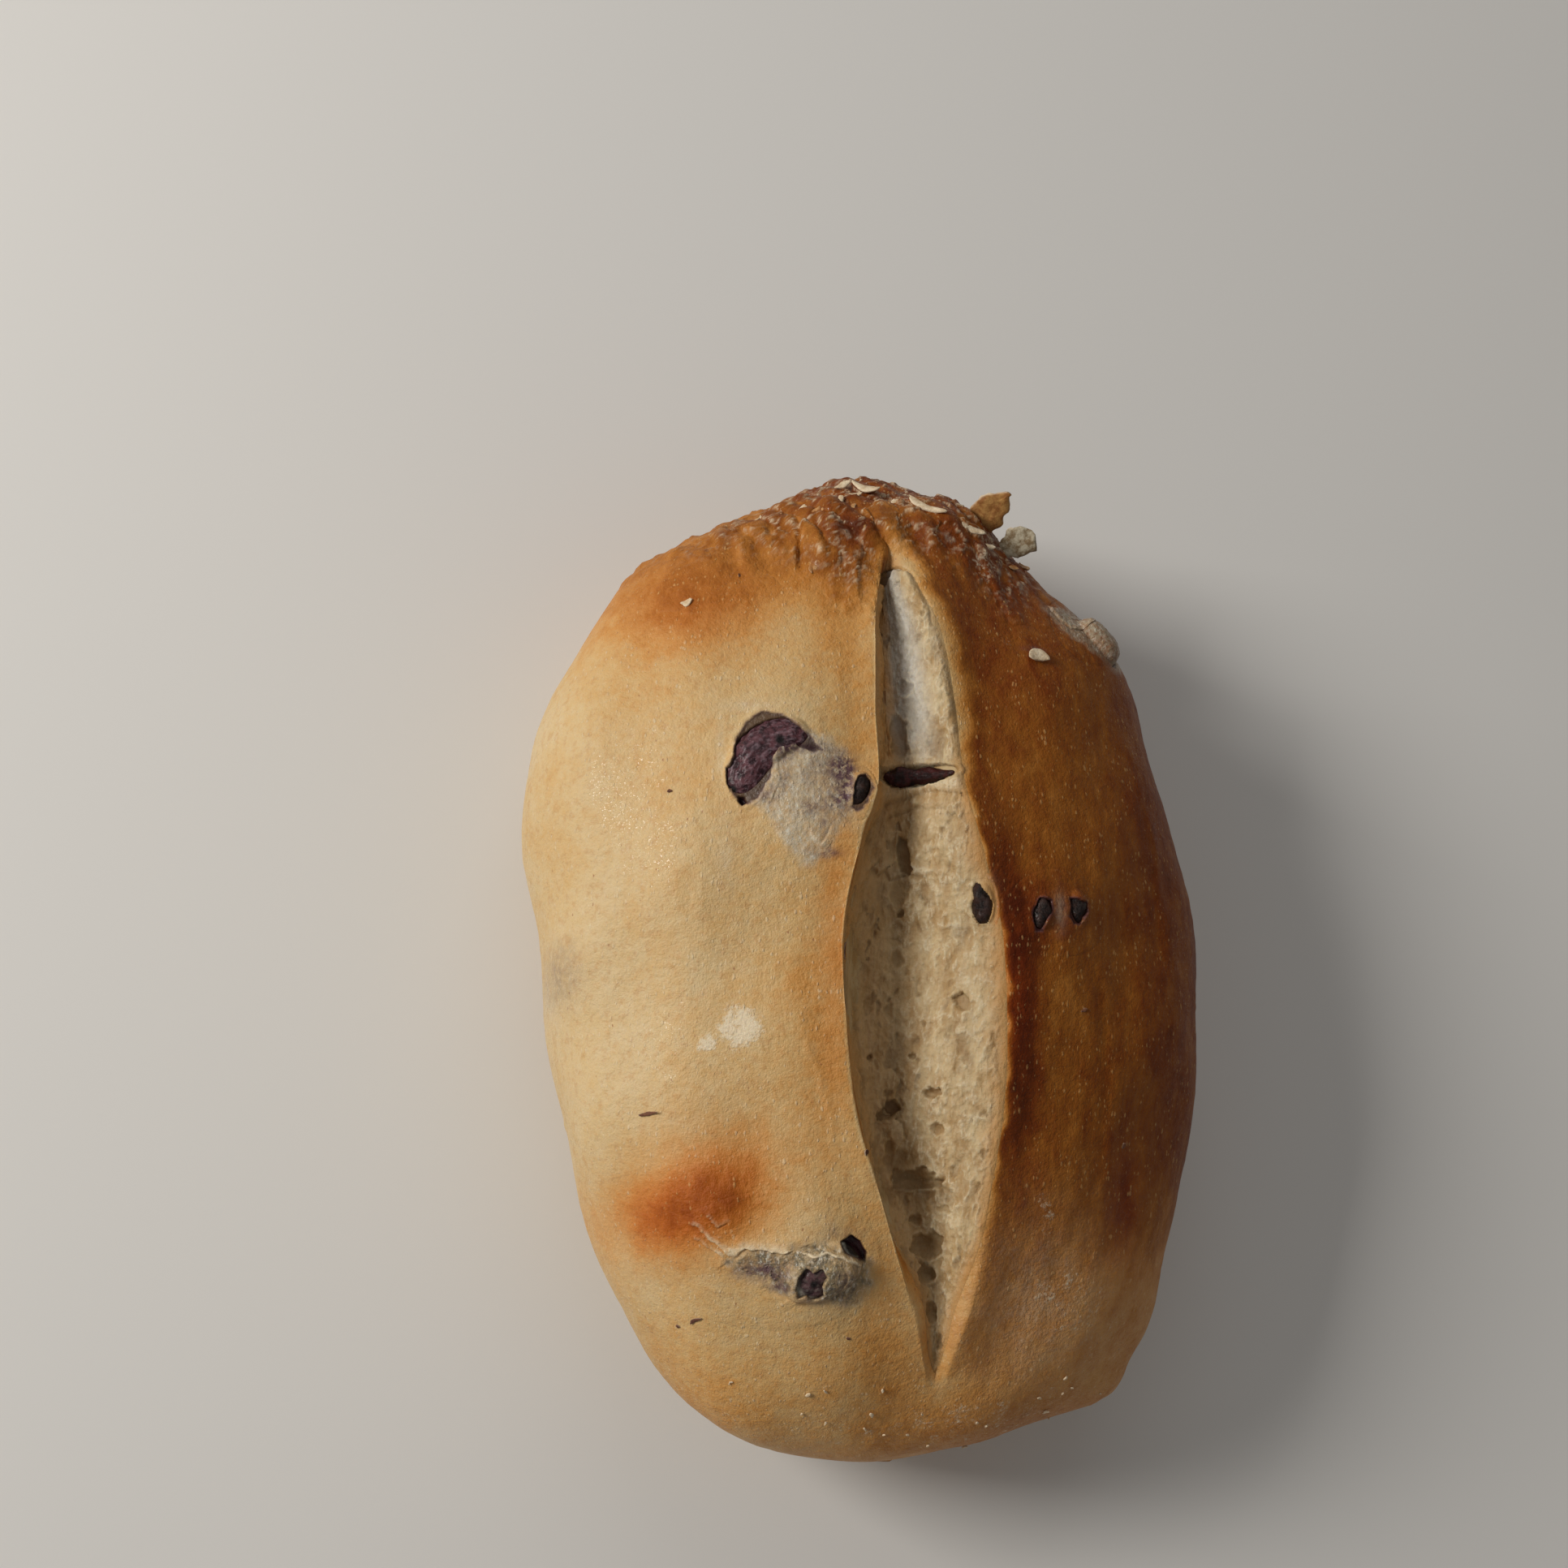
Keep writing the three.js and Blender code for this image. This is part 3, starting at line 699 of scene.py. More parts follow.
@dataclass(frozen=True)
class CrustFinish:
    """Baked crust: a ramp from pale cream to burnt brown read by how far each place is baked."""

    ramp: Rows = (
        (0, 0.68, 0.52, 0.3), (0.13, 0.66, 0.475, 0.24), (0.26, 0.64, 0.405, 0.165), (0.4, 0.6, 0.295, 0.078),
        (0.54, 0.48, 0.185, 0.028), (0.68, 0.31, 0.1, 0.011), (0.84, 0.2, 0.044, 0.004), (1, 0.1, 0.018, 0.002))
    fleck: Colour = (0.8, 0.66, 0.45, 1)
    golden_fleck: Colour = (0.85, 0.52, 0.2, 1)
    reddening: Colour = (1, 0.66, 0.42, 1)
    blush: Colour = (0.5, 0.24, 0.075, 1)
    spot: Colour = (0.3, 0.1, 0.04, 1)
    stain: Colour = (0.12, 0.06, 0.07, 1)
    veil: Colour = (0.6, 0.5, 0.35, 1)
    thread: Colour = (0.74, 0.7, 0.58, 1)
    moss: Colour = (0.17, 0.145, 0.09, 1)
    # Dark wine of olive-stained dough in the openings, and painted shade in the small holes.
    raw_and_shade: Colour = (0.035, 0.012, 0.014, 1)
    inside: Colour = (0.54, 0.37, 0.19, 1)

    def build(self, effects: SharedEffects) -> bpy.types.Material:
        """The material.

        Args:
            effects: Shared node groups.

        Returns:
            Crust coloured by its bake, with mottles, flecks, stain, film and flour, and fine lumps.
        """
        material, g = new_material("baked_crust")
        place = g.add("TexCoord", "Object")
        broad, blotch, fine = g.noise(place, 8), g.noise(place, 2.4, 4, 0.6), g.noise(place, 0.75, 3, 0.6)
        tone = g.attribute("bake")
        calm = g.span(tone, 0.35, 0.65, 1, 0.6)
        for pattern, amount in ((broad, 0.22), (blotch, 0.26), (fine, 0.2)):
            tone = tone + (pattern - 0.5) * amount * calm
        streaks = g.noise(g.stretched(g.bent(place, 3), (1, 0.36, 1)), 1.9, 5, 0.62)
        tone = tone + (streaks - 0.5) * g.span(tone, 0.4, 0.7, 0.06, 0.42)
        colour = g.mix(g.attribute("ruddy"), g.ramp(tone, self.ramp), self.reddening, "MULTIPLY")
        grit = g.noise(place, 0.36, 3, 0.6)
        sown = g.span(g.noise(place, 3.1), 0.36, 0.62, 0.35, 1)
        dots = g.add("TexVoronoi", "Distance", {"Vector": g.stretched(g.bent(place, 0.7), (1, 0.5, 1)),
                                                "Scale": 1 / (0.46 * MM)})
        own = dots.also("Color")
        off = dots + (grit - 0.5) * 0.8
        flecks = g.span(off - (own - 0.34) * 0.85 * sown, -0.22, 0.1, 1, 0)
        fleck = g.mix(g.span(tone, 0.3, 0.6), self.fleck, self.golden_fleck)
        colour = g.mix(flecks * g.span(tone, 0.3, 0.6, 0.4, 0.34), colour, fleck)
        colour = g.mix(g.span(own, 0.1, 0.12, 0.7, 0) * g.span(off, 0.1, 0.3, 1, 0), colour, self.spot)
        blush = g.span(g.noise(place, 1.4, 5, 0.7), 0.5, 0.66) * g.span(tone, 0.3, 0.6, 0.35, 0)
        colour = g.mix(blush, colour, self.blush)
        film = g.attribute("veil") * g.span(g.noise(place, 0.6, 5, 0.72), 0.36, 0.56, 0.45, 1)
        wisps = g.span(g.noise(g.stretched(place, (1.4, 0.7, 1)), 0.8, 6, 0.75), 0.5, 0.64)
        base = g.mix(g.attribute("grey"), self.veil, self.moss)
        colour = g.mix(film, colour, g.mix(wisps, base, self.thread))
        torn = g.span(g.noise(place, 0.9, 5, 0.7), 0.38, 0.56, 0.3, 1)
        colour = g.mix(g.attribute("stain") * torn, colour, self.stain)
        colour = g.mix(g.attribute("peel") * g.span(fine, 0.35, 0.6, 0.35, 1), colour, self.fleck)
        raw_and_shade, inner = g.attribute("raw_and_shade"), g.attribute("inner")
        dusted = effects.dusted(place, g.mix(raw_and_shade, colour, self.raw_and_shade), g.attribute("flour"))
        cover = dusted.also("Cover")
        rough = 0.4 + blotch * 0.2 + cover * 0.3 - g.math("MAXIMUM", film, raw_and_shade) * 0.2
        rough = g.math("MAXIMUM", rough, inner * 0.85)
        height = grit * 0.35 + fine * 0.5 + flecks * 0.2 + g.noise(place, 0.2, 1, 0.5) * 0.12
        height = height + streaks * g.span(tone, 0.35, 0.65, 0, 0.5) + cover * 0.2
        g.surface({"Base Color": g.mix(inner, dusted, self.inside), "Roughness": rough,
                   "Normal": g.bump(height, 0.32), "Coat Roughness": 0.16,
                   "Coat Weight": g.span(g.noise(place, 0.28, 2), 0.6, 0.68) * 0.5,
                   "Specular IOR Level": g.span(tone, 0.4, 0.7, 0.3, 0.15), "Subsurface Weight": 0.06,
                   "Subsurface Radius": (1, 0.5, 0.2), "Subsurface Scale": 0.0012})
        return material


@dataclass(frozen=True)
class CrumbFinish:
    """Open crumb: pale moist webs, painted shade in the pores and hollows, toast beside the crust with painted shade
    beside the left lip, and pale threads with painted highlights.
    """

    light: Colour = (0.58, 0.43, 0.23, 1)
    shade: Colour = (0.42, 0.26, 0.105, 1)
    cool_light: Colour = (0.6, 0.58, 0.52, 1)
    cool_shade: Colour = (0.42, 0.38, 0.31, 1)
    # Pale threads of the crumb, partly real strands and partly painted highlight on lit ridges, steps and bubble
    # rims.
    thread: Colour = (0.75, 0.64, 0.44, 1)
    # Painted shade: the brown-black laid into pores, hollows, bubbles, gaps and the far tip's recess.
    pore_shade: Colour = (0.17, 0.09, 0.035, 1)
    # Toasted brown beside the crust, also used as painted shade over the left and middle of the slash.
    toast_and_shade: Colour = (0.52, 0.26, 0.075, 1)

    def build(self) -> bpy.types.Material:
        """The material.

        Returns:
            Two crumb tones by noise, pale on the threads and their painted highlights, painted shade in the pores and
            hollows, and toasted at the lips with painted shade towards the left lip.
        """
        material, g = new_material("open_crumb")
        place = g.add("TexCoord", "Object")
        web = g.noise(g.stretched(place, (1, 0.55, 1)), 2.4, 5, 0.65)
        grain, cool = g.noise(place, 0.35, 3, 0.6), g.attribute("cool")
        shade, light = g.mix(cool, self.shade, self.cool_shade), g.mix(cool, self.light, self.cool_light)
        colour = g.mix(g.span(web, 0.36, 0.62), shade, light)
        colour = g.mix(g.attribute("thread_and_highlight") * g.span(grain, 0.3, 0.6, 0.35, 0.9), colour, self.thread)
        colour = g.mix(cool * g.span(g.noise(place, 0.7, 5, 0.7), 0.42, 0.6, 0, 0.55), colour, self.cool_shade)
        colour = g.mix(g.attribute("toast_and_shade") * g.span(web, 0.3, 0.62, 0.4, 1), colour, self.toast_and_shade)
        colour = g.mix(g.attribute("pore_shade") * 0.8, colour, self.pore_shade)
        height = g.noise(g.stretched(place, (1, 0.4, 1)), 0.4, 4, 0.62) * 0.5 + grain * 0.4
        g.surface({"Base Color": colour, "Roughness": 0.6, "Normal": g.bump(height, 0.3), "Specular IOR Level": 0.4,
                   "Subsurface Weight": 0.15, "Subsurface Radius": (1, 0.6, 0.3), "Subsurface Scale": 0.0015})
        return material


@dataclass(frozen=True)
class OliveFinish:
    """Moist dark flesh: purple black with paler bruised skin, a painted sheen on its fibres, painted shade in its
    holes, a soft gloss and fine fibres.
    """

    name: str
    dark: Colour
    light: Colour
    film: Colour
    bloom: float
    # Painted shade: near black laid on the flesh where holes and gaps lie.
    shaded_pit: Colour = (0.005, 0.0025, 0.0025, 1)

    def build(self) -> bpy.types.Material:
        """The material.

        Returns:
            Two tones by noise, a pale film by its mask, partly skin and partly painted sheen, and in streaks, black
            pits of painted shade and a gloss.
        """
        material, g = new_material(self.name)
        place = g.add("TexCoord", "Object")
        blotch, streak = g.noise(place, 1.1, 5, 0.68), g.noise(place, 0.5, 5, 0.72)
        colour = g.mix(g.span(blotch, 0.4, 0.62), self.dark, self.light)
        skin = g.attribute("film") * g.span(streak, 0.36, 0.56, 0.5, 1)
        colour = g.mix(g.math("MAXIMUM", g.span(streak, 0.52, 0.64) * self.bloom, skin), colour, self.film)
        g.surface({"Base Color": g.mix(g.attribute("shaded_pit"), colour, self.shaded_pit), "Roughness": 0.2 + blotch * 0.3,
                   "Normal": g.bump(streak, 0.26, 0.9), "Specular IOR Level": 0.25, "Coat Weight": 0.1,
                   "Coat Roughness": 0.12})
        return material


@dataclass(frozen=True)
class FlakeFinish:
    """Thin dry flakes and crumbs: two tones by noise under a little flour."""

    name: str
    low: Colour
    high: Colour
    flour: float
    rim: Colour = (0.8, 0.68, 0.5, 1)

    def build(self, effects: SharedEffects) -> bpy.types.Material:
        """The material.

        Args:
            effects: Shared node groups.

        Returns:
            The finished material.
        """
        material, g = new_material(self.name)
        place = g.add("TexCoord", "Object")
        colour = g.mix(g.span(g.noise(place, 1.2, 4, 0.65), 0.36, 0.64), self.low, self.high)
        colour = g.mix(g.attribute("rim") * 0.8, colour, self.rim)
        g.surface({"Base Color": effects.dusted(place, colour, self.flour), "Roughness": 0.7,
                   "Normal": g.bump(g.noise(place, 0.5, 5, 0.65), 0.2, 0.9), "Specular IOR Level": 0.35})
        return material


def patched(patches: Rows, x: Array, y: Array) -> Array:
    """Sum over the patches of amount times e to the minus squared shares of the half sizes."""
    return sum(amount * np.exp(-((x - across) / wide) ** 2 - ((y - along) / long) ** 2)
               for across, along, wide, long, amount in patches)


def offsets(a: Array, b: Array, x: Array, y: Array) -> tuple[Array, Array]:
    """Steps across and along from the nearest point of the line between a and b to each place."""
    t = np.clip(((x - a[0]) * (b - a)[0] + (y - a[1]) * (b - a)[1]) / ((b - a) @ (b - a)), 0, 1)
    return x - a[0] - t * (b - a)[0], y - a[1] - t * (b - a)[1]


def depth_inside(outline: Rows, x: Array, y: Array) -> Array:
    """How far inside a closed outline of the plan places lie.

    Args:
        outline: Its corners.
        x: Places across the roll.
        y: Places along it.

    Returns:
        Distance to the nearest side, minus outside. A place is inside where a line to its right crosses an odd
        number of sides.
    """
    ends = np.array(outline, float)
    nearest, inside = np.full(x.shape, 1e9), np.zeros(x.shape, bool)
    for a, b in zip(ends, np.roll(ends, -1, axis=0)):
        nearest = np.minimum(nearest, np.hypot(*offsets(a, b, x, y)))
        spans = (a[1] > y) != (b[1] > y)
        inside ^= spans & (x < a[0] + (y - a[1]) * (b[0] - a[0]) / np.where(spans, b[1] - a[1], 1))
    return np.where(inside, nearest, -nearest)


@dataclass(frozen=True)
class Crease:
    """A line over the roll: a fold, a step or a crack along a few points of the plan."""

    path: Rows
    rise: float
    drop: float
    spread: float

    def height(self, x: Array, y: Array, wander: Array) -> Array:
        """How far the surface is lifted on the left of the line and sunk in it.

        Args:
            x: Places across the roll.
            y: Places along it.
            wander: Small sideways shift of the line.

        Returns:
            Minus drop times a bell of the signed distance to the line, plus rise times a lift that starts
            sharply at the line and dies away on its left. Both end within a few spreads of it.
        """
        points = np.array(self.path, float)
        best, signed = np.full(x.shape, 1e9), np.zeros(x.shape)
        for a, b in zip(points, points[1:]):
            dx, dy = offsets(a, b, x, y)
            distance = np.hypot(dx, dy)
            side = np.sign((b[0] - a[0]) * dy - (b[1] - a[1]) * dx)
            signed = np.where(distance < best, side * distance, signed)
            best = np.minimum(best, distance)
        ends = np.minimum(*(np.hypot(x - end[0], y - end[1]) for end in points[[0, -1]]))
        signed = signed + wander
        lifted = self.rise * rising(signed, -0.25 * self.spread, 0.25 * self.spread)
        lifted = lifted * np.exp(-np.maximum(signed, 0) / (3.5 * self.spread))
        fade = bell(np.maximum(best - 2 * self.spread, 0), 3 * self.spread)
        return (lifted - self.drop * bell(signed, self.spread)) * fade * rising(ends, 0, 1.2)


@dataclass(frozen=True)
class Sheet:
    """A film of pale dough torn thin over an olive: its outline, how thick, stained and greyed it is."""

    outline: Rows
    veil: float
    stain: float
    grey: float = 0


SHEETS = (
    Sheet(((-22.4, 17.6), (-20.5, 15.6), (-18.7, 13.5), (-17, 10.8), (-14.7, 8), (-12.8, 7.4), (-10.8, 9.3),
        (-9.3, 12.5), (-8, 14.7), (-7.4, 19), (-8.6, 22.8), (-11.7, 25), (-14.3, 25.5), (-16.5, 24.2), (-19, 25.4),
        (-22.4, 23.4)), 1, 0.1),
    Sheet(((-22.4, -41.6), (-19.9, -40), (-16.3, -40.7), (-14, -39.5), (-11.6, -39.3), (-8.5, -40), (-5.2, -41.4),
        (-5, -44.8), (-6.4, -47.2), (-10.8, -46.8), (-14.1, -45.9), (-17, -45.2), (-19, -43.7), (-21.3, -43.7)), 1,
        0.15, 1),
    Sheet(((22, 46.6), (24.5, 47), (27.5, 48), (31, 47.2), (34.5, 44.5), (36.5, 42), (36, 39.8), (33.6, 38.6),
        (31, 39.6), (28.4, 41), (26, 42.6), (24, 44.6)), 0.9, 0.1, 0.5),
    Sheet(((-44.6, -0.6), (-42.4, 0), (-40.8, -3.6), (-41.4, -7.6), (-43.6, -9), (-45.4, -5)), 0.17, 0.06, 0.6))


class Tone(Enum):
    """The looks that an olive piece can have."""

    BLACK = "black"
    PURPLE = "purple"
    WINE = "wine"
    SKINNED = "skin_and_sheen"


@dataclass(frozen=True)
class Olive:
    """One piece of olive: its place over the roll, its turn, its size and how it lies."""

    node: str
    across: float
    along: float
    sink: float
    turn: float
    roll: float
    length: float
    width: float
    thick: float
    curl: float
    tone: Tone = Tone.BLACK
    torn: bool = False
    wedge: float = 0


OLIVES = (
    Olive("olive_far_left", -19.2, 22.7, 1.3, 222, 0, 13.6, 6.4, 4.4, 100, Tone.PURPLE, True),
    Olive("olive_left_lip", -7, 17.6, 0.8, 70, 0, 4.9, 2.9, 2.6, 10, torn=True),
    Olive("olive_in_slash", 2.6, 20.6, 0.2, 0, 90, 10, 2.8, 3, 62, Tone.WINE, False, 0.4),
    Olive("olive_right_lip", 9.2, 3.3, 0.7, 94, 0, 5.9, 2.9, 2.8, 16),
    Olive("olive_right_near", 17.3, 2.3, 0.8, 76, 0, 4.6, 2.6, 2.6, 20, torn=True),
    Olive("olive_right_far", 22.7, 3.4, 0.8, 98, 0, 4.4, 2.8, 2.6, 20, torn=True),
    Olive("olive_near_left", -11.3, -42.9, 1.2, 26, 0, 10.2, 6.4, 4.4, 20, Tone.SKINNED, True),
    Olive("olive_far_right", 30.6, 42.6, 1, -52, 0, 7.4, 5, 4.6, 12, Tone.SKINNED, True))


@dataclass(frozen=True)
class Tear:
    """Where the crust is torn open over olives: the oval patch, its openings, small holes and ridges."""

    name: str
    nodes: tuple[str, ...]
    across: float
    along: float
    wide: float
    long: float
    openings: tuple[Rows, ...]
    holes: tuple[Rows, ...] = ()
    ridges: tuple[Crease, ...] = ()
    rings: int = 90
    sides: int = 220


TEARS = (
    Tear("torn_crust_far_left", ("olive_far_left",), -18.2, 18.9, 10.2, 13.6,
         openings=(((-19.1, 28), (-21, 26.7), (-22.5, 24.2), (-22.9, 21.6), (-23.7, 19.6), (-23, 16.9), (-21.9, 15.3),
             (-20, 16.2), (-18.3, 19.1), (-18, 21.6), (-17.3, 22.7), (-15.1, 23.2), (-13, 22.4), (-11.6, 22.7),
             (-13.5, 24.7), (-15.1, 26.2), (-16.5, 27.5)),),
         holes=(((-23.9, 20.2), (-23.2, 20.4), (-22.9, 18.4), (-23.3, 17.2), (-23.8, 18.2)),
             ((-22.4, 16.6), (-21.5, 16.5), (-21.3, 15.6), (-21.9, 15.2), (-22.5, 15.8))),
         ridges=(Crease(((-18.6, 15.2), (-17.2, 18.6), (-17.3, 21.4), (-15.6, 22.6)), 0.16, 0, 0.5),
             Crease(((-14.6, 13.2), (-12.8, 10.6), (-11.4, 9.4)), 0.22, 0.1, 0.3),
             Crease(((-10.4, 13.4), (-11.2, 11.2), (-12.4, 9.6)), 0.2, 0.1, 0.3))),
    Tear("torn_crust_left_lip", ("olive_left_lip",), -7.3, 17.3, 3.3, 4.4, rings=40, sides=110,
         openings=(((-5.9, 19.7), (-5.2, 19), (-4.9, 17.8), (-5.8, 16.7), (-5.9, 16), (-6.6, 15.2), (-7.3, 14.8),
             (-7.9, 15.2), (-7.6, 16.8), (-7.4, 18.4), (-6.9, 19.2)),)),
    Tear("torn_crust_right", ("olive_right_near", "olive_right_far"), 20, 2.4, 8.6, 6.4, rings=70, sides=150,
         openings=(((16.5, 3.6), (17.1, 4.1), (18.7, 3.9), (18.8, 2.5), (17.8, 1.4), (17.3, -0.2), (16.3, -0.3),
             (16, 2.1)), ((21.5, 4.4), (24, 4), (24.1, 2.8), (23.3, 2), (23, 1.1), (22, 1), (21.4, 1.8)))),
    Tear("torn_crust_near_left", ("olive_near_left",), -17, -41.6, 15, 9.6, rings=112, sides=250,
         openings=(((-14.4, -43.4), (-13.4, -42.4), (-12.6, -42.9), (-11.5, -42.3), (-10.8, -43.5), (-11.4, -44.6),
             (-11, -45.8), (-12.2, -46.3), (-13.2, -45.7), (-14.1, -46), (-14.5, -44.8)),),
         holes=(((-9.2, -39.5), (-7.8, -38.6), (-6.6, -39.3), (-5.6, -40.7), (-5.9, -41.9), (-7.3, -41.1),
             (-8.8, -40.5)),),
         ridges=(Crease(((-22.4, -41.6), (-20.7, -40.3), (-18.2, -40.5), (-16.2, -40.9), (-14.6, -40.3)), 0.34, 0.05,
             0.4), Crease(((-14.6, -40.6), (-12.4, -41), (-11, -40.4), (-9.4, -40.7), (-7.4, -41.4), (-5.9, -42.2)),
             -0.3, -0.4, 0.3), Crease(((-15.6, -42.2), (-14.9, -44.2), (-15.4, -46)), 0.3, 0.1, 0.3),
             Crease(((-9, -41.6), (-8.2, -43.4), (-9, -45.4)), 0.22, 0.1, 0.3),
             Crease(((-18.6, -44.8), (-16.4, -46.1), (-14.1, -46.9)), -0.2, 0.1, 0.4),
             Crease(((-28, -37), (-26.6, -37.6), (-25.2, -39), (-23.4, -40.2), (-22.2, -41.4)), 0.32, 0.1, 0.2),
             Crease(((-27.6, -38.8), (-26, -39.3), (-24.6, -40.4), (-23, -41.4)), 0.26, 0.05, 0.18),
             Crease(((-26.4, -36), (-25.2, -36.4), (-24.2, -37.6), (-23, -37), (-22.4, -37.8)), 0.24, 0.05, 0.18))),
    Tear("torn_crust_far_right", ("olive_far_right",), 28.6, 44.2, 6.2, 6.6,
         openings=(((32.6, 44.4), (33.8, 43.8), (34.4, 42.4), (33.6, 41.4), (32.7, 42.4)),),
         ridges=(Crease(((22.6, 48.2), (23.4, 46.6), (24.6, 45), (26.2, 44), (28.2, 43.9), (30, 45.4)), 0.26, 0.08,
             0.24),)))


def room_for_tears(x: Array, y: Array) -> Array:
    """1 where the crust and the crumb sink to make room for a torn patch, 0 outside them all."""
    return np.max([falling(np.hypot((x - tear.across) / tear.wide, (y - tear.along) / tear.long), 0.7, 0.86)
                   for tear in TEARS], axis=0)


@dataclass
class OlivePiece:
    """Builds one piece of olive and tells where it sits in the crust. Its pits, black spots of painted shade at holes
    and gaps, are rows of a place and a size.
    """

    olive: Olive
    form: RollForm
    taper: float = 2.6
    wrinkle: float = 0.09
    gap: float = 0.2
    small_length: float = 6
    shaded_pits: Rows = (
        (-23.2, 17.3, 0.75), (-22, 15.6, 0.6), (-17.2, 23.8, 0.7), (-20.4, 26.6, 0.4), (-7.4, -39.9, 1.9),
        (-12.6, -44.6, 0.5), (9, 4.6, 0.5))

    def __post_init__(self) -> None:
        """Finds the piece's place on the crust."""
        o = self.olive
        self.point, tilt = self.form.seat(o.across, o.along, o.length / 2, -o.sink)
        self.flat = np.array(tilt @ spin(o.turn, "Z"))
        self.turned = np.array(tilt @ spin(o.turn, "Z") @ spin(o.roll, "X"))
        self.bend = math.radians(o.curl)
        self.radius = o.length / self.bend
        self.small = o.length < self.small_length

    def skin(self, rings: int, sides: int) -> tuple[Array, Array]:
        """The piece's surface as rings between two end points.

        Args:
            rings: Number of spaces along the piece.
            sides: Vertices in a ring.

        Returns:
            Rows of three, and how far each lies on the back of a fibre. A tapering oval section is carried
            along an arc, with the lengthwise share and the section's angle as the two parameters. Its reach
            is scaled by layered lumps, folds, ridged noise along the arc, a zigzag and the wedge.
        """
        o = self.olive
        polar = math.pi * np.arange(rings + 1)[:, None] / rings
        angle = FULL_TURN * np.arange(sides)[None, :] / sides
        run = -np.cos(polar)
        taper = np.abs(np.sin(polar)) ** (2 / self.taper)
        wrinkle = 1 + self.wrinkle * np.sin(5 * run + o.length) * np.cos(3 * angle + o.width)
        side = o.width / 2 * wrinkle * np.cos(angle) * taper
        up = o.thick / 2 * wrinkle * np.sin(angle) * taper
        straight = np.stack([o.length / 2 * run + 0 * angle, side, up], axis=-1)
        lumps = layered(straight / 1.7 + o.across, 3, 5)
        folds = np.abs(layered(straight / 1.1 + o.along, 3, 9))
        drawn = straight / np.array([2.6, 0.55, 0.55]) + 0.5 * lumps[..., None] + o.turn
        fibre = (1 - np.abs(layered(drawn, 3, 11))) ** 3
        rough = 0.12 if self.small else 0.3 if o.roll else 0.1
        reach = 1 + rough * (lumps - folds) + 0.07 * (fibre - 0.5)
        cut = np.abs(np.mod(1.7 * run + 0.9 * np.sign(np.cos(angle)) + o.across, 1.6) - 0.8) - 0.4
        reach = reach * (1 - o.wedge * (0.5 + 0.5 * run)) * (1 - 0.4 * cut * (o.wedge > 0))
        arm, turn = self.radius - side * reach, run * self.bend / 2
        points = np.stack([arm * np.sin(turn), self.radius - arm * np.cos(turn), up * reach], axis=-1)
        placed = self.point + points @ self.turned.T
        return tuple(np.concatenate([grid[0, :1], grid[1:-1].reshape(-1, *grid.shape[2:]), grid[-1, :1]])
                     for grid in (placed, fibre))

    def pit_shade_mask(self, vertices: Array) -> Array:
        """How close each vertex is to one of the pits, painted black as the shade of holes and gaps in the olives."""
        near = [bell(np.hypot(vertices[:, 0] - x, vertices[:, 1] - y), size) for x, y, size in self.shaded_pits]
        return np.clip(1.9 * np.max(near, axis=0) - 0.35, 0, 1)

    def spans(self, points: Array) -> tuple[Array, Array, Array]:
        """Where places lie in the piece's own measure.

        Args:
            points: Places on the crust.

        Returns:
            The share of the way out to the piece's oval, by the run along its arc and the distance from it,
            then the height over its middle, and the height of its own back there.
        """
        o, radius = self.olive, self.radius
        local = (points - self.point) @ self.flat
        if o.roll:
            run, side = local[..., 0], local[..., 1]
            narrowed = 1 - o.wedge * np.clip(0.5 + run / o.length, 0, 1)
            lift, side_size, deep_size = np.square(run) / (2 * radius), o.thick * narrowed, o.width * narrowed
        else:
            run = np.arctan2(local[..., 0], radius - local[..., 1]) * radius
            side = radius - np.hypot(local[..., 0], radius - local[..., 1])
            lift, side_size, deep_size = 0, o.width, o.thick
        share = (np.abs(run) / (o.length / 2 + self.gap)) ** self.taper
        share = share + (np.abs(side) / (side_size / 2 + self.gap)) ** 2
        share = share + 9 * rising(np.abs(local[..., 2]), 5, 8)
        back = (deep_size / 2 + self.gap) * np.sqrt(np.clip(1 - share, 0, 1))
        return share, local[..., 2] - lift, back

    def pocket(self, points: Array) -> tuple[Array, Array]:
        """How far the crust sinks under and round the piece.

        Args:
            points: Places of the crust.

        Returns:
            The displacement, which follows the piece's underside with a small gap and climbs back over a
            small rim, and a mask that is 1 on the piece and dies away round it.
        """
        share, level, back = self.spans(points)
        sink = np.maximum(level + back, 0) * falling(share, 1, 1.3)
        rim = 0.2 * bell(share - 1.5, 0.22) * (share > 1) * (not self.olive.torn)
        return rim - sink, bell(np.maximum(share - 1, 0), 0.7)


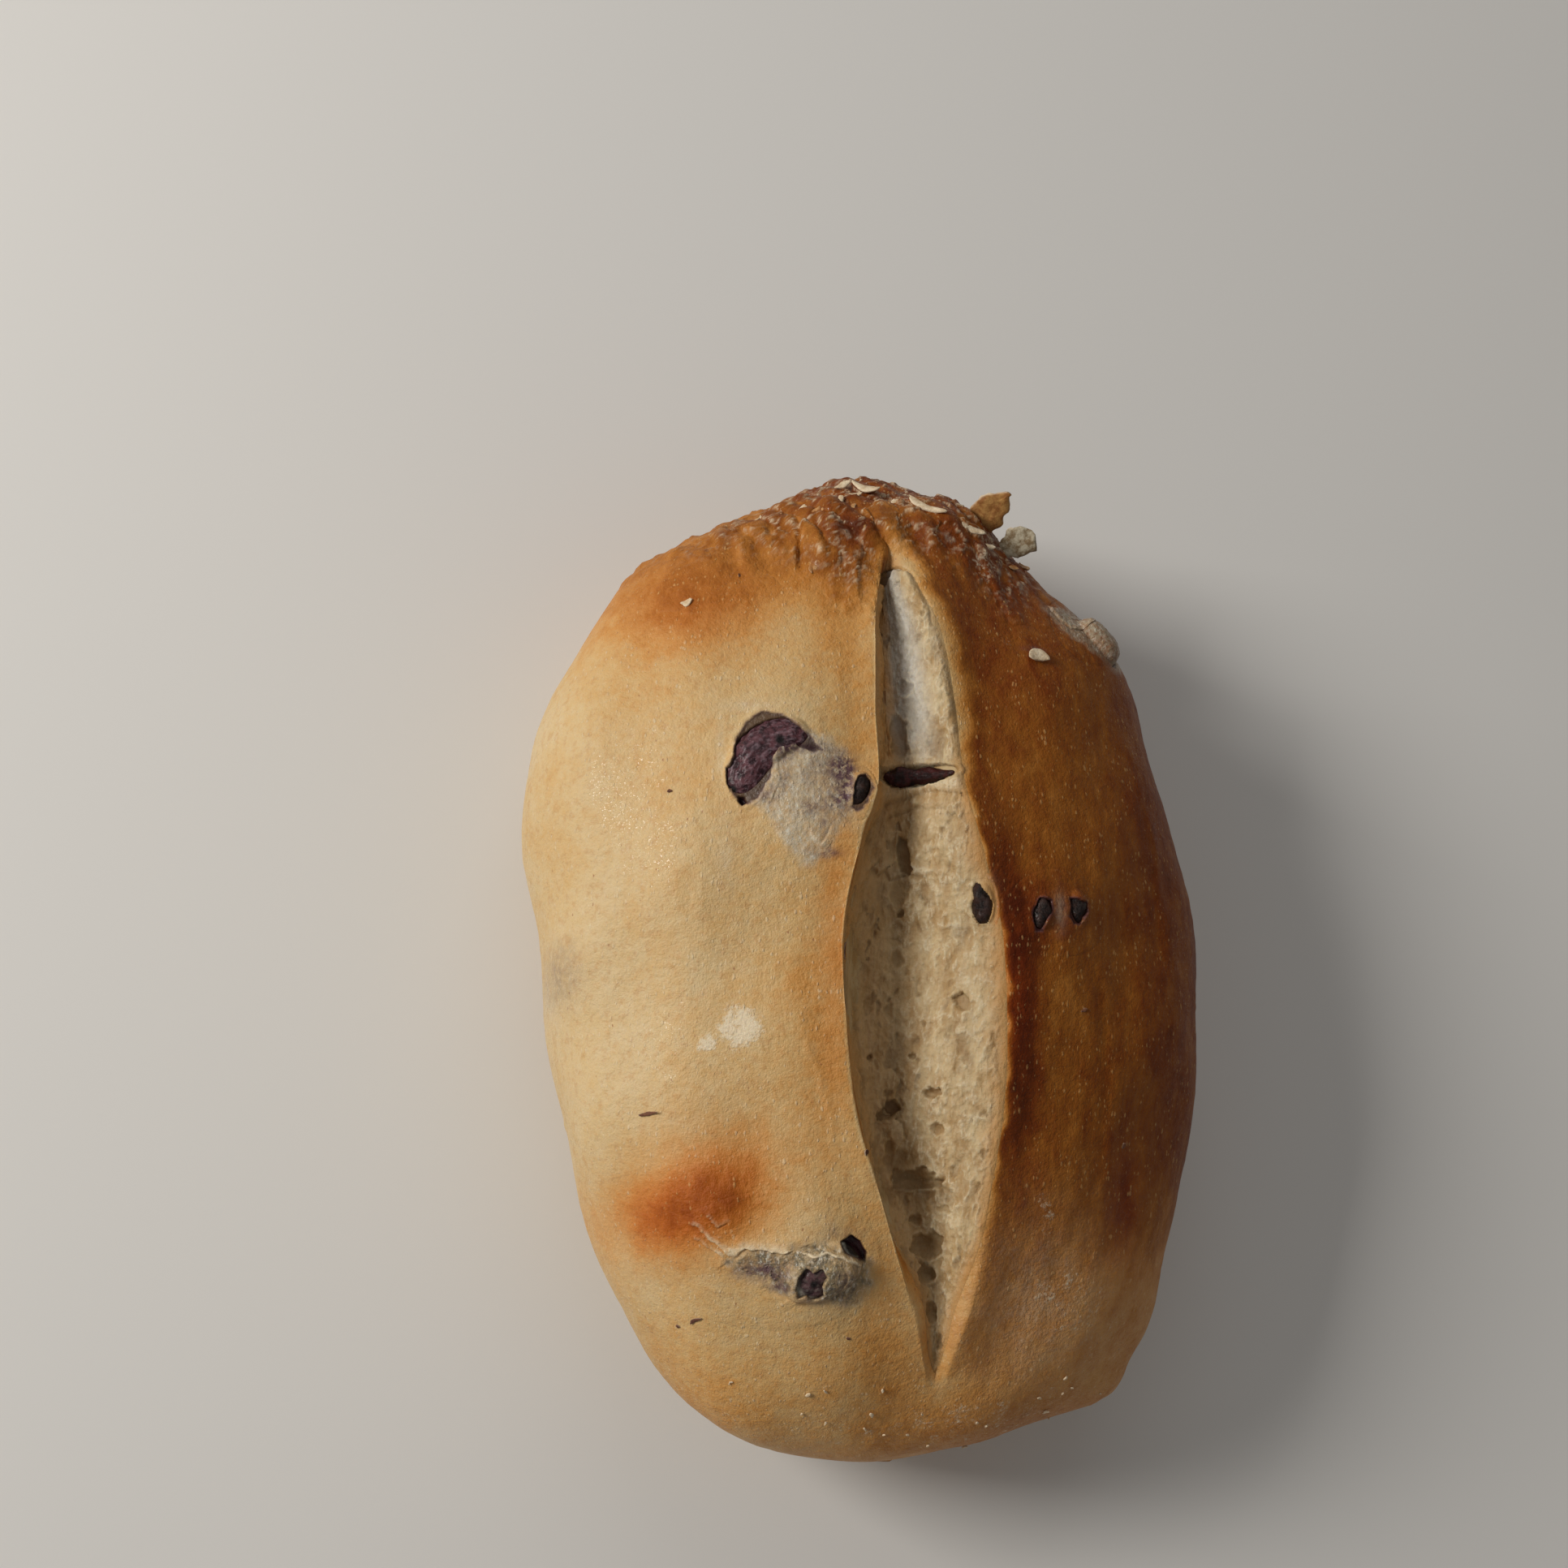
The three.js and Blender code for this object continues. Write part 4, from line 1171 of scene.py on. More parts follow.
@dataclass
class Loaf:
    """The loaf itself: one closed skin of crust with its masks and fine relief.

    Its patches are rows of a place across and along the roll, half sizes across and along, and an amount.
    """

    form: RollForm
    olives: list[OlivePiece]
    rings: int = 330
    columns: tuple[int, int, int, int] = (14, 112, 34, 136)
    crowding: float = 0.2
    crumb_sink: float = 1.4
    tear_sink: float = 1.4
    bake_patches: Rows = (
        (-23.8, -31.6, 7, 6.6, 0.32), (-29.8, -36.4, 6.4, 5.2, 0.36), (-21.6, -36, 4.6, 3.6, 0.14),
        (-14, -20, 5, 10, 0.05), (-27, 44, 10, 7, 0.22), (-12, 52, 8, 7, 0.16), (-9, 40, 4, 9, 0.1),
        (29.8, -35.5, 2.6, 4.5, 0.2), (-33, 31, 7, 8, 0.08), (18, 4, 6, 5, 0.08), (14.5, 47, 6, 8, 0.06),
        (-5.5, 55.4, 2, 1.8, 0.25), (5.4, -57, 3.4, 3.6, -0.16), (0.6, 52.6, 1.6, 2.6, -0.3),
        (2.6, 49.4, 1.4, 2.4, -0.15), (-40, -6, 7, 16, -0.06), (-35, -22, 6, 9, -0.05), (-9.8, -4, 2.6, 16, 0.06),
        (16, -36, 3, 8, 0.06), (26, 6, 7, 30, -0.04), (36, 4, 5, 30, 0.08), (1, -51, 2.6, 4.6, -0.1),
        (20, -64, 12, 5, 0.1))
    ruddy_patches: Rows = (
        (-24.4, -32, 8, 7, 0.7), (-30.5, -36.8, 7, 5.5, 0.8), (-27, 44, 10, 7, 0.5), (13.6, -8, 2.4, 14, 0.9),
        (30.2, -34.5, 3, 7, 0.7), (-10.2, -6, 2.6, 16, 0.35))
    flour_patches: Rows = (
        (-22.1, -12.9, 2.9, 3, 1.3), (-26.2, -15.2, 1.2, 1.1, 1), (22, -47, 15, 11, 0.42), (4, -62, 26, 5, 0.42),
        (2, 63, 18, 4, 0.45), (17, 53, 8, 4, 0.3), (18, -35, 1.6, 3, 0.5), (14.6, 39, 2, 4, 0.45),
        (13, 50, 2.6, 5, 0.4), (-44, -20, 5, 30, 0.12), (-24.6, -38.8, 3.6, 1.2, 0.5), (28, 44, 6, 3, 0.2))
    stain_patches: Rows = (
        (-8.6, 20.2, 1.8, 1.6, 0.7), (-43, -4.7, 2.6, 3.4, 0.25), (20.2, 2.4, 2.6, 2.2, 0.3),
        (9.4, 0.6, 1.6, 2.2, 0.25), (-16.6, 22.4, 1.3, 1.3, 0.9), (-13.4, 23, 2.4, 0.8, 0.8),
        (-9.2, 21.2, 1.6, 1.6, 0.75), (-8.6, 17.4, 1.3, 2.4, 0.95), (-13, 15, 1.9, 1.2, 0.5),
        (-11, 9.2, 1.7, 0.6, 0.8), (-12.4, 19.6, 2.4, 2, 0.4), (-10.2, 16, 2, 2.6, 0.4), (-18.8, 16.6, 1.4, 1.2, 0.7),
        (-16.6, 18.4, 0.9, 1.6, 0.4), (-11.6, 12.6, 0.5, 1.4, 0.6), (-17.8, -43.2, 2.4, 1.2, 0.7),
        (-20.6, -43.2, 1.6, 1, 0.4), (-8.4, -44.4, 1.2, 2.2, 0.5), (-16.2, -44.9, 1.4, 0.6, 0.6),
        (-12.4, -46.6, 2.4, 0.6, 0.6), (-9, -38.4, 2.4, 0.8, 0.35), (19.2, 39.4, 1.5, 0.35, 1),
        (33.2, 43.2, 1.2, 1.8, 1), (29.2, 47.4, 1.8, 1, 0.4))
    veil_patches: Rows = (
        (-8.4, 14.8, 1.6, 2.6, 0.4), (-43.5, -7, 2.4, 4, 0.3), (-24, 9, 1.2, 5, 0.25), (-20.6, 28.8, 3, 0.8, 0.5),
        (-24.4, 23, 0.6, 3.6, 0.4), (8.8, 5.4, 1.4, 1.4, 0.5), (19.9, 2.6, 0.7, 2.4, 0.3), (18, -48, 12, 10, 0.25))
    creases: tuple[Crease, ...] = (
        Crease(((-14.7, -13), (-13.7, -16.5), (-12.1, -20.5), (-11, -24.5), (-10.9, -28.5)), 0.2, 0.05, 0.25),
        Crease(((-12.1, 57.5), (-12.4, 53), (-12.6, 49)), 0.12, 0.9, 0.3),
        Crease(((-9, 50.5), (-9.6, 54), (-10.2, 58.1), (-7, 60)), 0.4, 0.1, 0.3),
        Crease(((-3.4, 42), (-3.7, 44), (-5.2, 44.8), (-4.6, 52.4), (-2.6, 56)), 0.3, 0.08, 0.25),
        Crease(((-2.4, 55.6), (-3, 58.6), (-5.4, 59.8), (-8.2, 58.6), (-8.8, 55.6)), 0.4, 0.1, 0.3),
        Crease(((-29, 14), (-27.5, 8), (-27.8, 2)), 0.12, 0.06, 0.5),
        Crease(((23, 47.6), (20.6, 49.6), (19, 51.6), (17, 54)), 0.45, 0.2, 0.5),
        Crease(((13, 52), (16, 45), (17.5, 38)), 0.2, 0.08, 0.6),
        Crease(((34, 24), (36.5, 12), (37, 0)), 0.22, 0.08, 0.7),
        Crease(((26, -6), (27.5, -18), (26.5, -30)), 0.2, 0.08, 0.7))

    def baked(self, points: Array, upper: Array, shift: Array, broad: Array) -> Array:
        """How far each place of the crust is baked.

        Args:
            points: Rows of three, in millimetres.
            upper: 1 where the point belongs to the upper half, else 0.
            shift: Small sideways shift that frays the patches.
            broad: Slow noise.

        Returns:
            On the left, a rise towards the lip and both ends, and a painted highlight that lowers the bake along the
            left lip's crest. On the right, an even brown with a deep band beside the lip, paler at the near end; this
            brown is partly browner crust and partly painted shade of the flank turned from the key light, and its
            rise towards the far right flank is painted shade. The two meet in a step at the right lip where the slash
            is open and in a wide blend elsewhere. The patches are added on the upper half.
        """
        x, y, z = points[..., 0], points[..., 1], points[..., 2]
        opened, (left, right) = self.form.opened(y), self.form.lips(y)
        pale = 0.15 + 0.05 * rising(x, -44, -26) + 0.13 * rising(x - left, -11, -1.5)
        pale = pale + 0.38 * rising(y + 0.2 * np.abs(x), 38, 66) + 0.16 * rising(-y, 42, 62)
        off = x + 0.5 * shift - right + 0.25 * np.sin(1.1 * y)
        near = rising(-y, 26, 54)
        band = falling(off, 2.2, 6.5) * (0.05 + 0.17 * rising(y, -34, -20) * falling(y, 6, 15))
        # The right flank's brown is partly browner crust and partly painted shade of the side turned from the key
        # light; the rise towards the far right flank is painted shade.
        right_brown_and_shade = 0.72 + 0.03 * rising(y, 5, 40) - 0.26 * near + band * opened + 0.08 * rising(x, 26, 44) * (1 - near)
        half = 0.8 + 1.2 * rising(np.abs(y + 8), 20, 40) + 7 * (1 - opened)
        wide = rising(y, 14, 34) * opened
        side = rising((off - 1.6 * wide) / (half + 0.8 * wide), -1, 1)
        pale = pale - 0.14 * wide * rising(off, -3, -0.5)
        bake = pale + (right_brown_and_shade - pale) * side + 0.07 * broad
        lip = x - left + 0.08 * shift
        inside = 0.3 * rising(lip, 0.05, 0.4) * falling(lip, 1.5, 3)
        # Painted highlight: the bake is lowered in a thin line along the left lip's crest.
        bake = bake + (inside - 0.12 * bell(lip + 0.15, 0.22)) * opened * upper * rising(y, -48, -38)
        bake = 0.2 + (bake - 0.2) * rising(z, 2, 14)
        return bake + patched(self.bake_patches, x + shift, y + shift) * upper

    def masks(self, points: Array, upper: Array) -> dict[str, Array]:
        """Bake, flour, stain, veil, grey, reddening and the slash's inside for every point.

        Args:
            points: Rows of three, in millimetres.
            upper: 1 where the point belongs to the upper half, else 0.

        Returns:
            Values by mask name. Each is a sum of oval bells and of smooth steps of the place, with layered
            noise to fray its edges.
        """
        x, y, z = points[..., 0], points[..., 1], points[..., 2]
        fray, broad, torn = layered(points / 2, 3, 31), layered(points / 9, 3, 41), layered(points / 1.2, 3, 35)
        share, run, shift = self.form.slash_share(x, y) + 0.015 * fray, self.form.closing(y), 0.8 * fray
        inner = rising(share - run, 0.05, 0.2) * falling(share + run, 0.88, 0.97)
        inner = inner * (0.45 + 0.55 * self.form.lined(share, y)) * self.form.opened(y) * upper
        flour = 0.08 + 0.25 * falling(z, 1, 8) + 0.08 * broad + 0.05 * rising(-y, 30, 55)
        flour = flour + patched(self.flour_patches, x + shift, y) * upper
        stain = patched(self.stain_patches, x, y) * upper * (1 + 0.6 * fray)
        veil = patched(self.veil_patches, x, y) * upper * (1 + 0.8 * fray)
        ruddy = patched(self.ruddy_patches, x + shift, y + shift) * upper
        grey, close, raw_and_shade = np.zeros((3, *x.shape))
        for sheet in SHEETS:
            cover = rising(depth_inside(sheet.outline, x, y) + 0.8 * torn, -0.8, 0.8) * rising(z, 17, 26)
            veil = np.maximum(veil, sheet.veil * cover * (0.85 + 0.5 * fray))
            stain = stain + sheet.stain * cover * (1 + 1.2 * torn)
            grey = np.maximum(grey, sheet.grey * cover)
        for piece in self.olives:
            if piece.olive.torn:
                raw_and_shade = np.maximum(raw_and_shade, falling(piece.spans(points)[0], 1.05, 1.3))
            else:
                close = np.maximum(close, piece.pocket(points)[1])
        return {"bake": self.baked(points, upper, shift, broad), "flour": flour, "veil": veil, "inner": inner,
                "stain": np.maximum(stain, 0.5 * close * upper), "raw_and_shade": raw_and_shade * upper, "grey": grey, "ruddy": ruddy}

    def fine_relief(self, points: Array) -> Array:
        """Fine unevenness of the crust: soft lumps, long ridges on the right, plates at the far end.

        Args:
            points: Places on the roll, in millimetres.

        Returns:
            Layered noises, one stretched along the roll, creases, pimples, and more noise at the far end.
        """
        x, y = points[..., 0], points[..., 1]
        out = 0.14 * layered(points / 6, 3, 3) + 0.06 * layered(points / 1.5, 2, 7)
        out = out + 0.16 * layered(points / np.array([3, 11, 3]), 3, 11) * rising(x, 6, 16)
        wander = 0.4 * layered(points / 2.6, 2, 19)
        for crease in self.creases:
            out = out + crease.height(x, y, wander)
        end = rising(y + 0.16 * np.abs(x), 50, 60)
        out = out + (0.3 * layered(points / 3, 3, 23) + 0.2 * layered(points / 1.2, 2, 37)) * end
        first, own = scattered_points(points / 5, 43)
        return out + 0.12 * falling(first, 0, 0.2) * (own > 0.55)

    def build(self, material: bpy.types.Material) -> None:
        """Makes the loaf in place of its solid.

        Args:
            material: The crust's material. The smooth grid is pushed along its normals by the large relief
                and then by the fine relief, the pockets of the olives and the room for the crumb.
        """
        form = self.form
        plain = form.grid(self.rings, self.columns, self.crowding)
        large = plain + grid_normals(plain) * form.relief(plain)[..., None]
        x, y, z = large[..., 0], large[..., 1], large[..., 2]
        upper = rising(z, 6, 20)
        bed = form.bed(form.slash_share(x, y), y) * upper
        settled = rising(z, 0.5, 4) * rising(form.half_length - np.abs(y), 0, 1.5)
        fine = (1 - bed) * self.fine_relief(large) - self.crumb_sink * bed
        fine = fine - self.tear_sink * room_for_tears(x, y) * upper
        fine = fine + sum(piece.pocket(large)[0] for piece in self.olives if not piece.olive.roll)
        points = large + grid_normals(large) * (fine * settled)[..., None]
        points[..., 2] = form.settle(points[..., 2])
        add_skin("loaf_crust", points, self.masks(large, upper), material, "loaf")


@dataclass
class PeeledEnd:
    """A finely made patch of the crust over the far end, where its layers have peeled in ragged ledges."""

    loaf: Loaf
    rings: int = 150
    across: int = 290
    beneath: int = 40
    polar: tuple[float, float] = (0.12, 0.95)
    fan: tuple[float, float] = (0.4, 2.76)
    neighbour: Tear = TEARS[-1]

    def build(self, material: bpy.types.Material) -> None:
        """Makes the patch.

        Args:
            material: The crust's material. Over a grid of the rings' angle and the section's angle, the
                crust's own relief is raised in ledges: a layered noise is cut into levels, each with a
                steep pale edge and a tone of its own. The rim and the slash dip under their neighbours.
        """
        loaf, form, tear = self.loaf, self.loaf.form, self.neighbour
        u, v = np.linspace(0, 1, self.rings)[:, None], np.linspace(0, 1, self.across)[None, :]
        polar = self.polar[0] + (self.polar[1] - self.polar[0]) * u
        plain = form.shell(polar, self.fan[0] + (self.fan[1] - self.fan[0]) * v)
        large = plain + grid_normals(plain, closed=False) * form.relief(plain)[..., None]
        x, y = large[..., 0], large[..., 1]
        masks = loaf.masks(large, np.ones_like(x))
        fray = layered(large / 0.9, 3, 103)
        nearer = 8 * bell(x + 7, 4) + 6 * bell(x - 16.5, 4) - 2.5 * rising(-x, 12, 20)
        amount = rising(y + 0.12 * np.abs(x) + 1.6 * fray + nearer, 50, 59)
        amount = amount * rising(np.minimum(v, 1 - v) + 0.03 * fray, 0.03, 0.2)
        climb = 3 * layered(large / 6, 5, 101) + 0.1 * fray
        level = np.floor(climb)
        part, own = climb - level, hashed(level[..., None] * np.array([1, 0, 0]), 107)
        ledges = np.maximum(0.34 * (level + rising(part, 0, 0.1)) + 0.5, -0.1)
        crumbs = np.maximum(layered(large / 0.7, 3, 109) - 0.3, 0)
        open_part = 1 - form.bed(form.slash_share(x, y), y)
        hidden = np.hypot(x - tear.across, y - tear.along) / tear.wide
        rim = np.minimum(np.minimum(u, 1 - u) / 0.05, np.minimum(v, 1 - v) / 0.03)
        dip = np.maximum(falling(rim, 0, 1), falling(hidden, 0.75, 0.95))
        push = loaf.fine_relief(large) + 0.04 + (ledges + 0.4 * crumbs) * amount * open_part
        push = push * open_part - 2 * (1 - open_part) - 0.7 * dip
        top = large + grid_normals(large, closed=False) * push[..., None]
        edge = bell(part - 0.1, 0.045) + 0.8 * rising(crumbs, 0.05, 0.25)
        masks["peel"] = 0.7 * edge * amount * open_part
        masks["bake"] = masks["bake"] + (0.1 + 0.3 * (own - 0.5) - 0.1 * rising(part, 0.3, 1)) * amount
        masks["veil"] = np.maximum(masks["veil"], 0.45 * rising(own + 0.4 * fray, 0.75, 1.05) * amount)
        back = np.linspace(1, 0, self.beneath + 2)[None, 1:-1]
        under = form.shell(polar, self.fan[0] + (self.fan[1] - self.fan[0]) * back)
        deep = 1 + 1.5 * np.sin(math.pi * back) + 5 * bell(under[..., 0] - 1, 6)
        under = under + grid_normals(under, closed=False) * deep[..., None]
        masks = {key: np.concatenate([values, 0 * under[..., 0]], axis=1) for key, values in masks.items()}
        add_skin("peeled_far_end", np.concatenate([top, under], axis=1), masks, material)


@dataclass
class CrumbBed:
    """The open crumb that lines the slash, a thin closed skin with pores, bubbles and torn webs.

    Bubbles are rows of a place across and along, half sizes and depth. Gaps have an outline, a depth and the
    strength of the painted shade on their floors. The opening is where the olive of the right lip lies.
    """

    loaf: Loaf
    far: float = 54.4
    near: float = -57.8
    rings: int = 560
    across: int = 150
    beneath: int = 8
    thickness: float = 1.3
    tear_sink: float = 1.2
    bubbles: Rows = (
        (-0.6, 11.2, 0.7, 1.4, 0.5), (0.1, 5.4, 1.3, 2, 0.55), (0.6, 2.9, 0.6, 0.7, 0.7), (0.4, -3, 1, 1.1, 0.5),
        (1.2, -16.1, 0.6, 0.6, 0.8), (-4, -16.4, 0.5, 0.6, 0.6), (3.6, -20.6, 1.2, 0.6, 0.9),
        (4.5, -25.2, 1.1, 0.8, 0.6), (-1.8, -23.2, 1.3, 0.9, 1.4), (1.7, -31.2, 2.9, 1, 1.1),
        (3.5, -39.9, 2, 1.9, 1.1), (3.2, -43.6, 1.6, 1.3, 1.1), (4.1, -48.1, 1, 1.4, 0.7), (0.4, 26.2, 1.6, 3.2, 0.8),
        (-1.2, 39.9, 0.7, 1, 0.5), (1.8, 33, 1, 1.4, 0.35), (-1.2, -9.6, 0.7, 1.6, 0.35), (-3.6, -9, 0.8, 1.4, 0.3),
        (-4.4, 3.5, 0.7, 1.1, 0.35), (1, 47.4, 0.35, 0.35, 0.6), (2.8, 39, 0.3, 0.35, 0.5),
        (-2.2, 31.4, 0.8, 1.2, 0.4), (5.2, -35.5, 0.8, 0.7, 0.6), (2.2, -36.6, 1.2, 0.7, 0.8),
        (-1.2, -27.6, 0.9, 1.1, 0.6))
    gaps: tuple[tuple[Rows, float, float], ...] = (
        (((5.8, -8.7), (6.9, -7.8), (7.3, -8.2), (7.8, -9), (7.8, -10.6), (7, -10.5), (6.2, -9.6)), 0.8, 0.6),
        (((-0.5, -30.2), (1.2, -30.6), (1.9, -31.4), (5.1, -31.5), (5.2, -32.7), (1.7, -33), (-0.6, -32.9)), 0.9,
            0.7),
        (((3.1, -33.2), (4.4, -33.1), (4.3, -33.8), (3.4, -34.2)), 0.5, 0.6),
        (((0, 12.9), (1, 12.4), (1.2, 9.8), (1.7, 8.4), (1.3, 7.6), (0.3, 8.2), (-0.3, 10.4)), 1, 0.85),
        (((-1.9, -21.8), (-0.6, -21.6), (0.1, -22.8), (-0.7, -23.6), (-1.8, -23.3)), 1.3, 1),
        (((3.3, -19.8), (3.9, -20.1), (4.5, -20.9), (3.9, -21), (3.4, -20.5)), 0.5, 0.8),
        (((6.3, 17.6), (6.7, 17.7), (7.4, 16.5), (7.1, 16.4)), 0.5, 1))
    opening: Rows = (
        (8.2, 6), (8.9, 5.6), (9.3, 4.9), (9.9, 4.2), (10.4, 3.2), (10.3, 1.8), (9.9, 0.6), (9.1, 0.5), (8.1, 1.9),
        (7.9, 2.8), (8.4, 3.8), (8, 4.8))
    steps: tuple[Crease, ...] = (
        Crease(((-3.6, 14.6), (-1.6, 17.2), (2.3, 18.6), (6.2, 17.6), (8.2, 14.8)), 0.5, 0.35, 0.7),
        Crease(((-4.4, 7.4), (-3.4, 8.8), (-2.6, 7.8), (-1.6, 8.6), (-0.9, 7.3), (1.4, 7.9), (3.6, 7)), 0.5, 0.3,
            0.35),
        Crease(((5.4, 13.4), (4.2, 10.6), (5.6, 7.2)), 0.25, 0.25, 0.4),
        Crease(((-2.8, 13.8), (-1, 15.6), (2.2, 16.6), (5.4, 15.4)), 0.3, 0.2, 0.35),
        Crease(((-1.4, -32.9), (1.2, -33.2), (4.6, -32.9)), 0.4, 0.1, 0.3),
        Crease(((-3, 24.6), (-0.8, 23.4), (3.2, 23.8)), 0.3, 0.2, 0.4),
        Crease(((1.2, 25), (1.6, 27.8), (2.6, 28.6)), 0.2, 0.15, 0.3),
        Crease(((2, 36), (2.8, 31.8), (3.6, 28.4)), 0.18, 0.12, 0.3),
        Crease(((2.2, -44.6), (4.2, -45), (5.4, -43.8)), 0.35, 0.2, 0.35),
        Crease(((0.9, -27), (0.2, -24.6), (-0.6, -24), (-1.4, -23.9), (-2.6, -21.2)), 0.6, 0.3, 0.3))

    def relief(self, points: Array, share: Array, cool: Array) -> tuple[Array, Array, Array]:
        """Open texture of the crumb, the painted shade of its pores and hollows, and where pale threads and painted
        highlights run.

        Args:
            points: Places on the crumb, in millimetres.
            share: Their shares of the way across the slash.
            cool: How far each place belongs to the smooth film of the far chamber.

        Returns:
            The relief, the painted shade of pores, hollows, bubbles, gaps and the far tip, and the mask of pale
            threads with painted highlights on ridges, steps and bubble rims. The relief sums hollows of layered noise
            drawn out along the roll, ridges of a finer one, pits, steps, bubbles, each a bowl with a sharp rim,
            and gaps with flat floors.
        """
        x, y = points[..., 0], points[..., 1]
        fray, drift = layered(points / 1.3, 3, 79), layered(points / 1.7, 3, 59)
        long, drawn = (points * np.array([1, squeeze, 1]) + 0.5 * fray[..., None] for squeeze in (0.55, 0.36))
        calm = 1 - 0.6 * cool
        hollow = layered(long / 2.3, 3, 73)
        thread_and_highlight = (1 - np.abs(layered(drawn / 0.62, 2, 53))) ** 4
        thread_and_highlight = thread_and_highlight * (1 - 0.7 * cool) * (0.3 + 0.7 * rising(layered(points / 1.1, 2, 87), -0.25, 0.3))
        out = 0.48 * hollow * calm + 0.32 * (thread_and_highlight - 0.3) * calm * (0.7 + 0.3 * rising(share, 0.3, 0.6))
        shaded_pit = rising(layered(long / 1.3, 3, 97), 0.34, 0.52) * calm
        out = out + 0.16 * layered(points / 0.5, 3, 83) - 0.3 * shaded_pit
        # Painted shade: pits and the low parts of the hollows are darkened.
        pore_shade = np.maximum(0.45 * shaded_pit, 0.5 * rising(-hollow, 0.15, 0.6) * calm)
        for step in self.steps:
            height = step.height(x, y, 0.35 * drift)
            out = out + height
            # Painted highlight along the raised edge of each step.
            thread_and_highlight = np.maximum(thread_and_highlight, rising(height, 0.1, 0.3))
        for across, along, wide, long, depth in self.bubbles:
            distance = np.hypot((x + 0.7 * drift + 0.4 * fray - across) / wide, (y + 0.9 * fray - along) / long)
            hole = falling(distance, 0.4 + 0.36 * min(depth, 1), 1.04)
            out = out * (1 - 0.6 * hole) - depth * hole * (0.55 + 0.45 * rising(1 - distance, 0, 1))
            out = out + 0.12 * bell(distance - 1.08, 0.12)
            # Painted shade fills the bubble's bowl.
            pore_shade = np.maximum(pore_shade * (1 - 0.5 * hole), hole * min(0.6, 0.1 + 0.35 * depth))
            # Painted highlight along the bubble's rim.
            thread_and_highlight = np.maximum(thread_and_highlight * (1 - hole), 0.7 * bell(distance - 1.08, 0.1))
        for outline, sunk, dark in self.gaps:
            hole = rising(depth_inside(outline, x + 0.3 * fray, y + 0.25 * drift), -0.06, 0.14)
            out, thread_and_highlight = out * (1 - 0.7 * hole) - sunk * hole, thread_and_highlight * (1 - hole)
            # Painted shade on the gap's floor.
            pore_shade = pore_shade * (1 - hole) + (dark - 0.12) * hole
        tip = rising(y + 0.7 * fray - 2.4 * rising(share, 0.45, 0.75), 47.4, 48)
        out, thread_and_highlight = out * (1 - tip) - 0.9 * tip, thread_and_highlight * (1 - tip)
        # Painted shade in the recess at the far tip.
        pore_shade = np.maximum(pore_shade, (0.95 - 0.25 * rising(y, 48.4, 49.8)) * tip)
        # The threads and their painted highlight are dimmed towards the shaded left side.
        return out, pore_shade, thread_and_highlight * (0.4 + 0.6 * rising(share, 0.3, 0.55))

    def build(self, material: bpy.types.Material) -> None:
        """Makes the crumb.

        Args:
            material: The crumb's material. The skin's top follows the slash from lip to lip on a grid of
                the share along it and the share across it. Its underside runs back a little lower.
        """
        form = self.loaf.form
        y = (self.far + (self.near - self.far) * np.arange(1, self.rings) / self.rings)[:, None]
        left, right = form.lips(y)
        u = np.linspace(0, 1, self.across)[None, :]
        share = 0.012 + 1.02 * (0.75 * u + 0.25 * u ** 2)
        top = form.top_points(left + (right - left) * share, y)
        facing = -grid_normals(top, closed=False)
        top = top + facing * form.relief(top)[..., None]
        lined, run = form.lined(share, y), form.closing(y)
        from_left, to_right = share - run, share + run
        window = rising(from_left, 0.02, 0.09) * falling(to_right, 0.9, 0.975) * lined
        fray = layered(top / 2, 3, 47)
        cool = rising(y + 2 * fray, 20, 27) * falling(share, 0.62, 0.85) * rising(share + 0.08 * fray, 0.14, 0.5)
        rough, pore_shade, thread_and_highlight = self.relief(top, share + 0 * y, cool)
        edge = 0.5 * falling(from_left, 0.015, 0.07) + 0.18 * rising(to_right, 0.96, 1.032) - 0.04
        edge = edge + 0.5 * rising(to_right, 1.03, 1.1)
        push = rough * window - edge - 0.7 * (1 - lined) + (0.7 * rising(y, 21, 27) + 0.3 * cool) * window
        push = push + self.loaf.fine_relief(top) * rising(to_right, 0.9, 0.98)
        torn = rising(depth_inside(self.opening, top[..., 0], top[..., 1]) + 0.25 * fray, -0.05, 0.15)
        for piece in self.loaf.olives:
            away, level, back = piece.spans(top)
            hole = torn if piece.small else 1
            cover = np.maximum(back - level + 0.12, 0) * falling(away, 0.9, 1.15) * (1 - hole)
            push = push + piece.pocket(top)[0] * hole + cover
            # Painted shade round the small olives where they lie open in the crumb.
            near = falling(away, 0.95, 1.2) * hole * piece.small
            pore_shade, thread_and_highlight = np.maximum(pore_shade, near), thread_and_highlight * (1 - near)
        push = push - self.tear_sink * room_for_tears(top[..., 0], top[..., 1])
        back = np.linspace(1, 0, self.beneath + 2)[None, 1:-1]
        low = form.top_points(left + (right - left) * (0.012 + 1.02 * back), y)
        low[..., 2] -= 0.7 + self.thickness * np.sin(math.pi * back)
        later = rising(y, 14, 34)
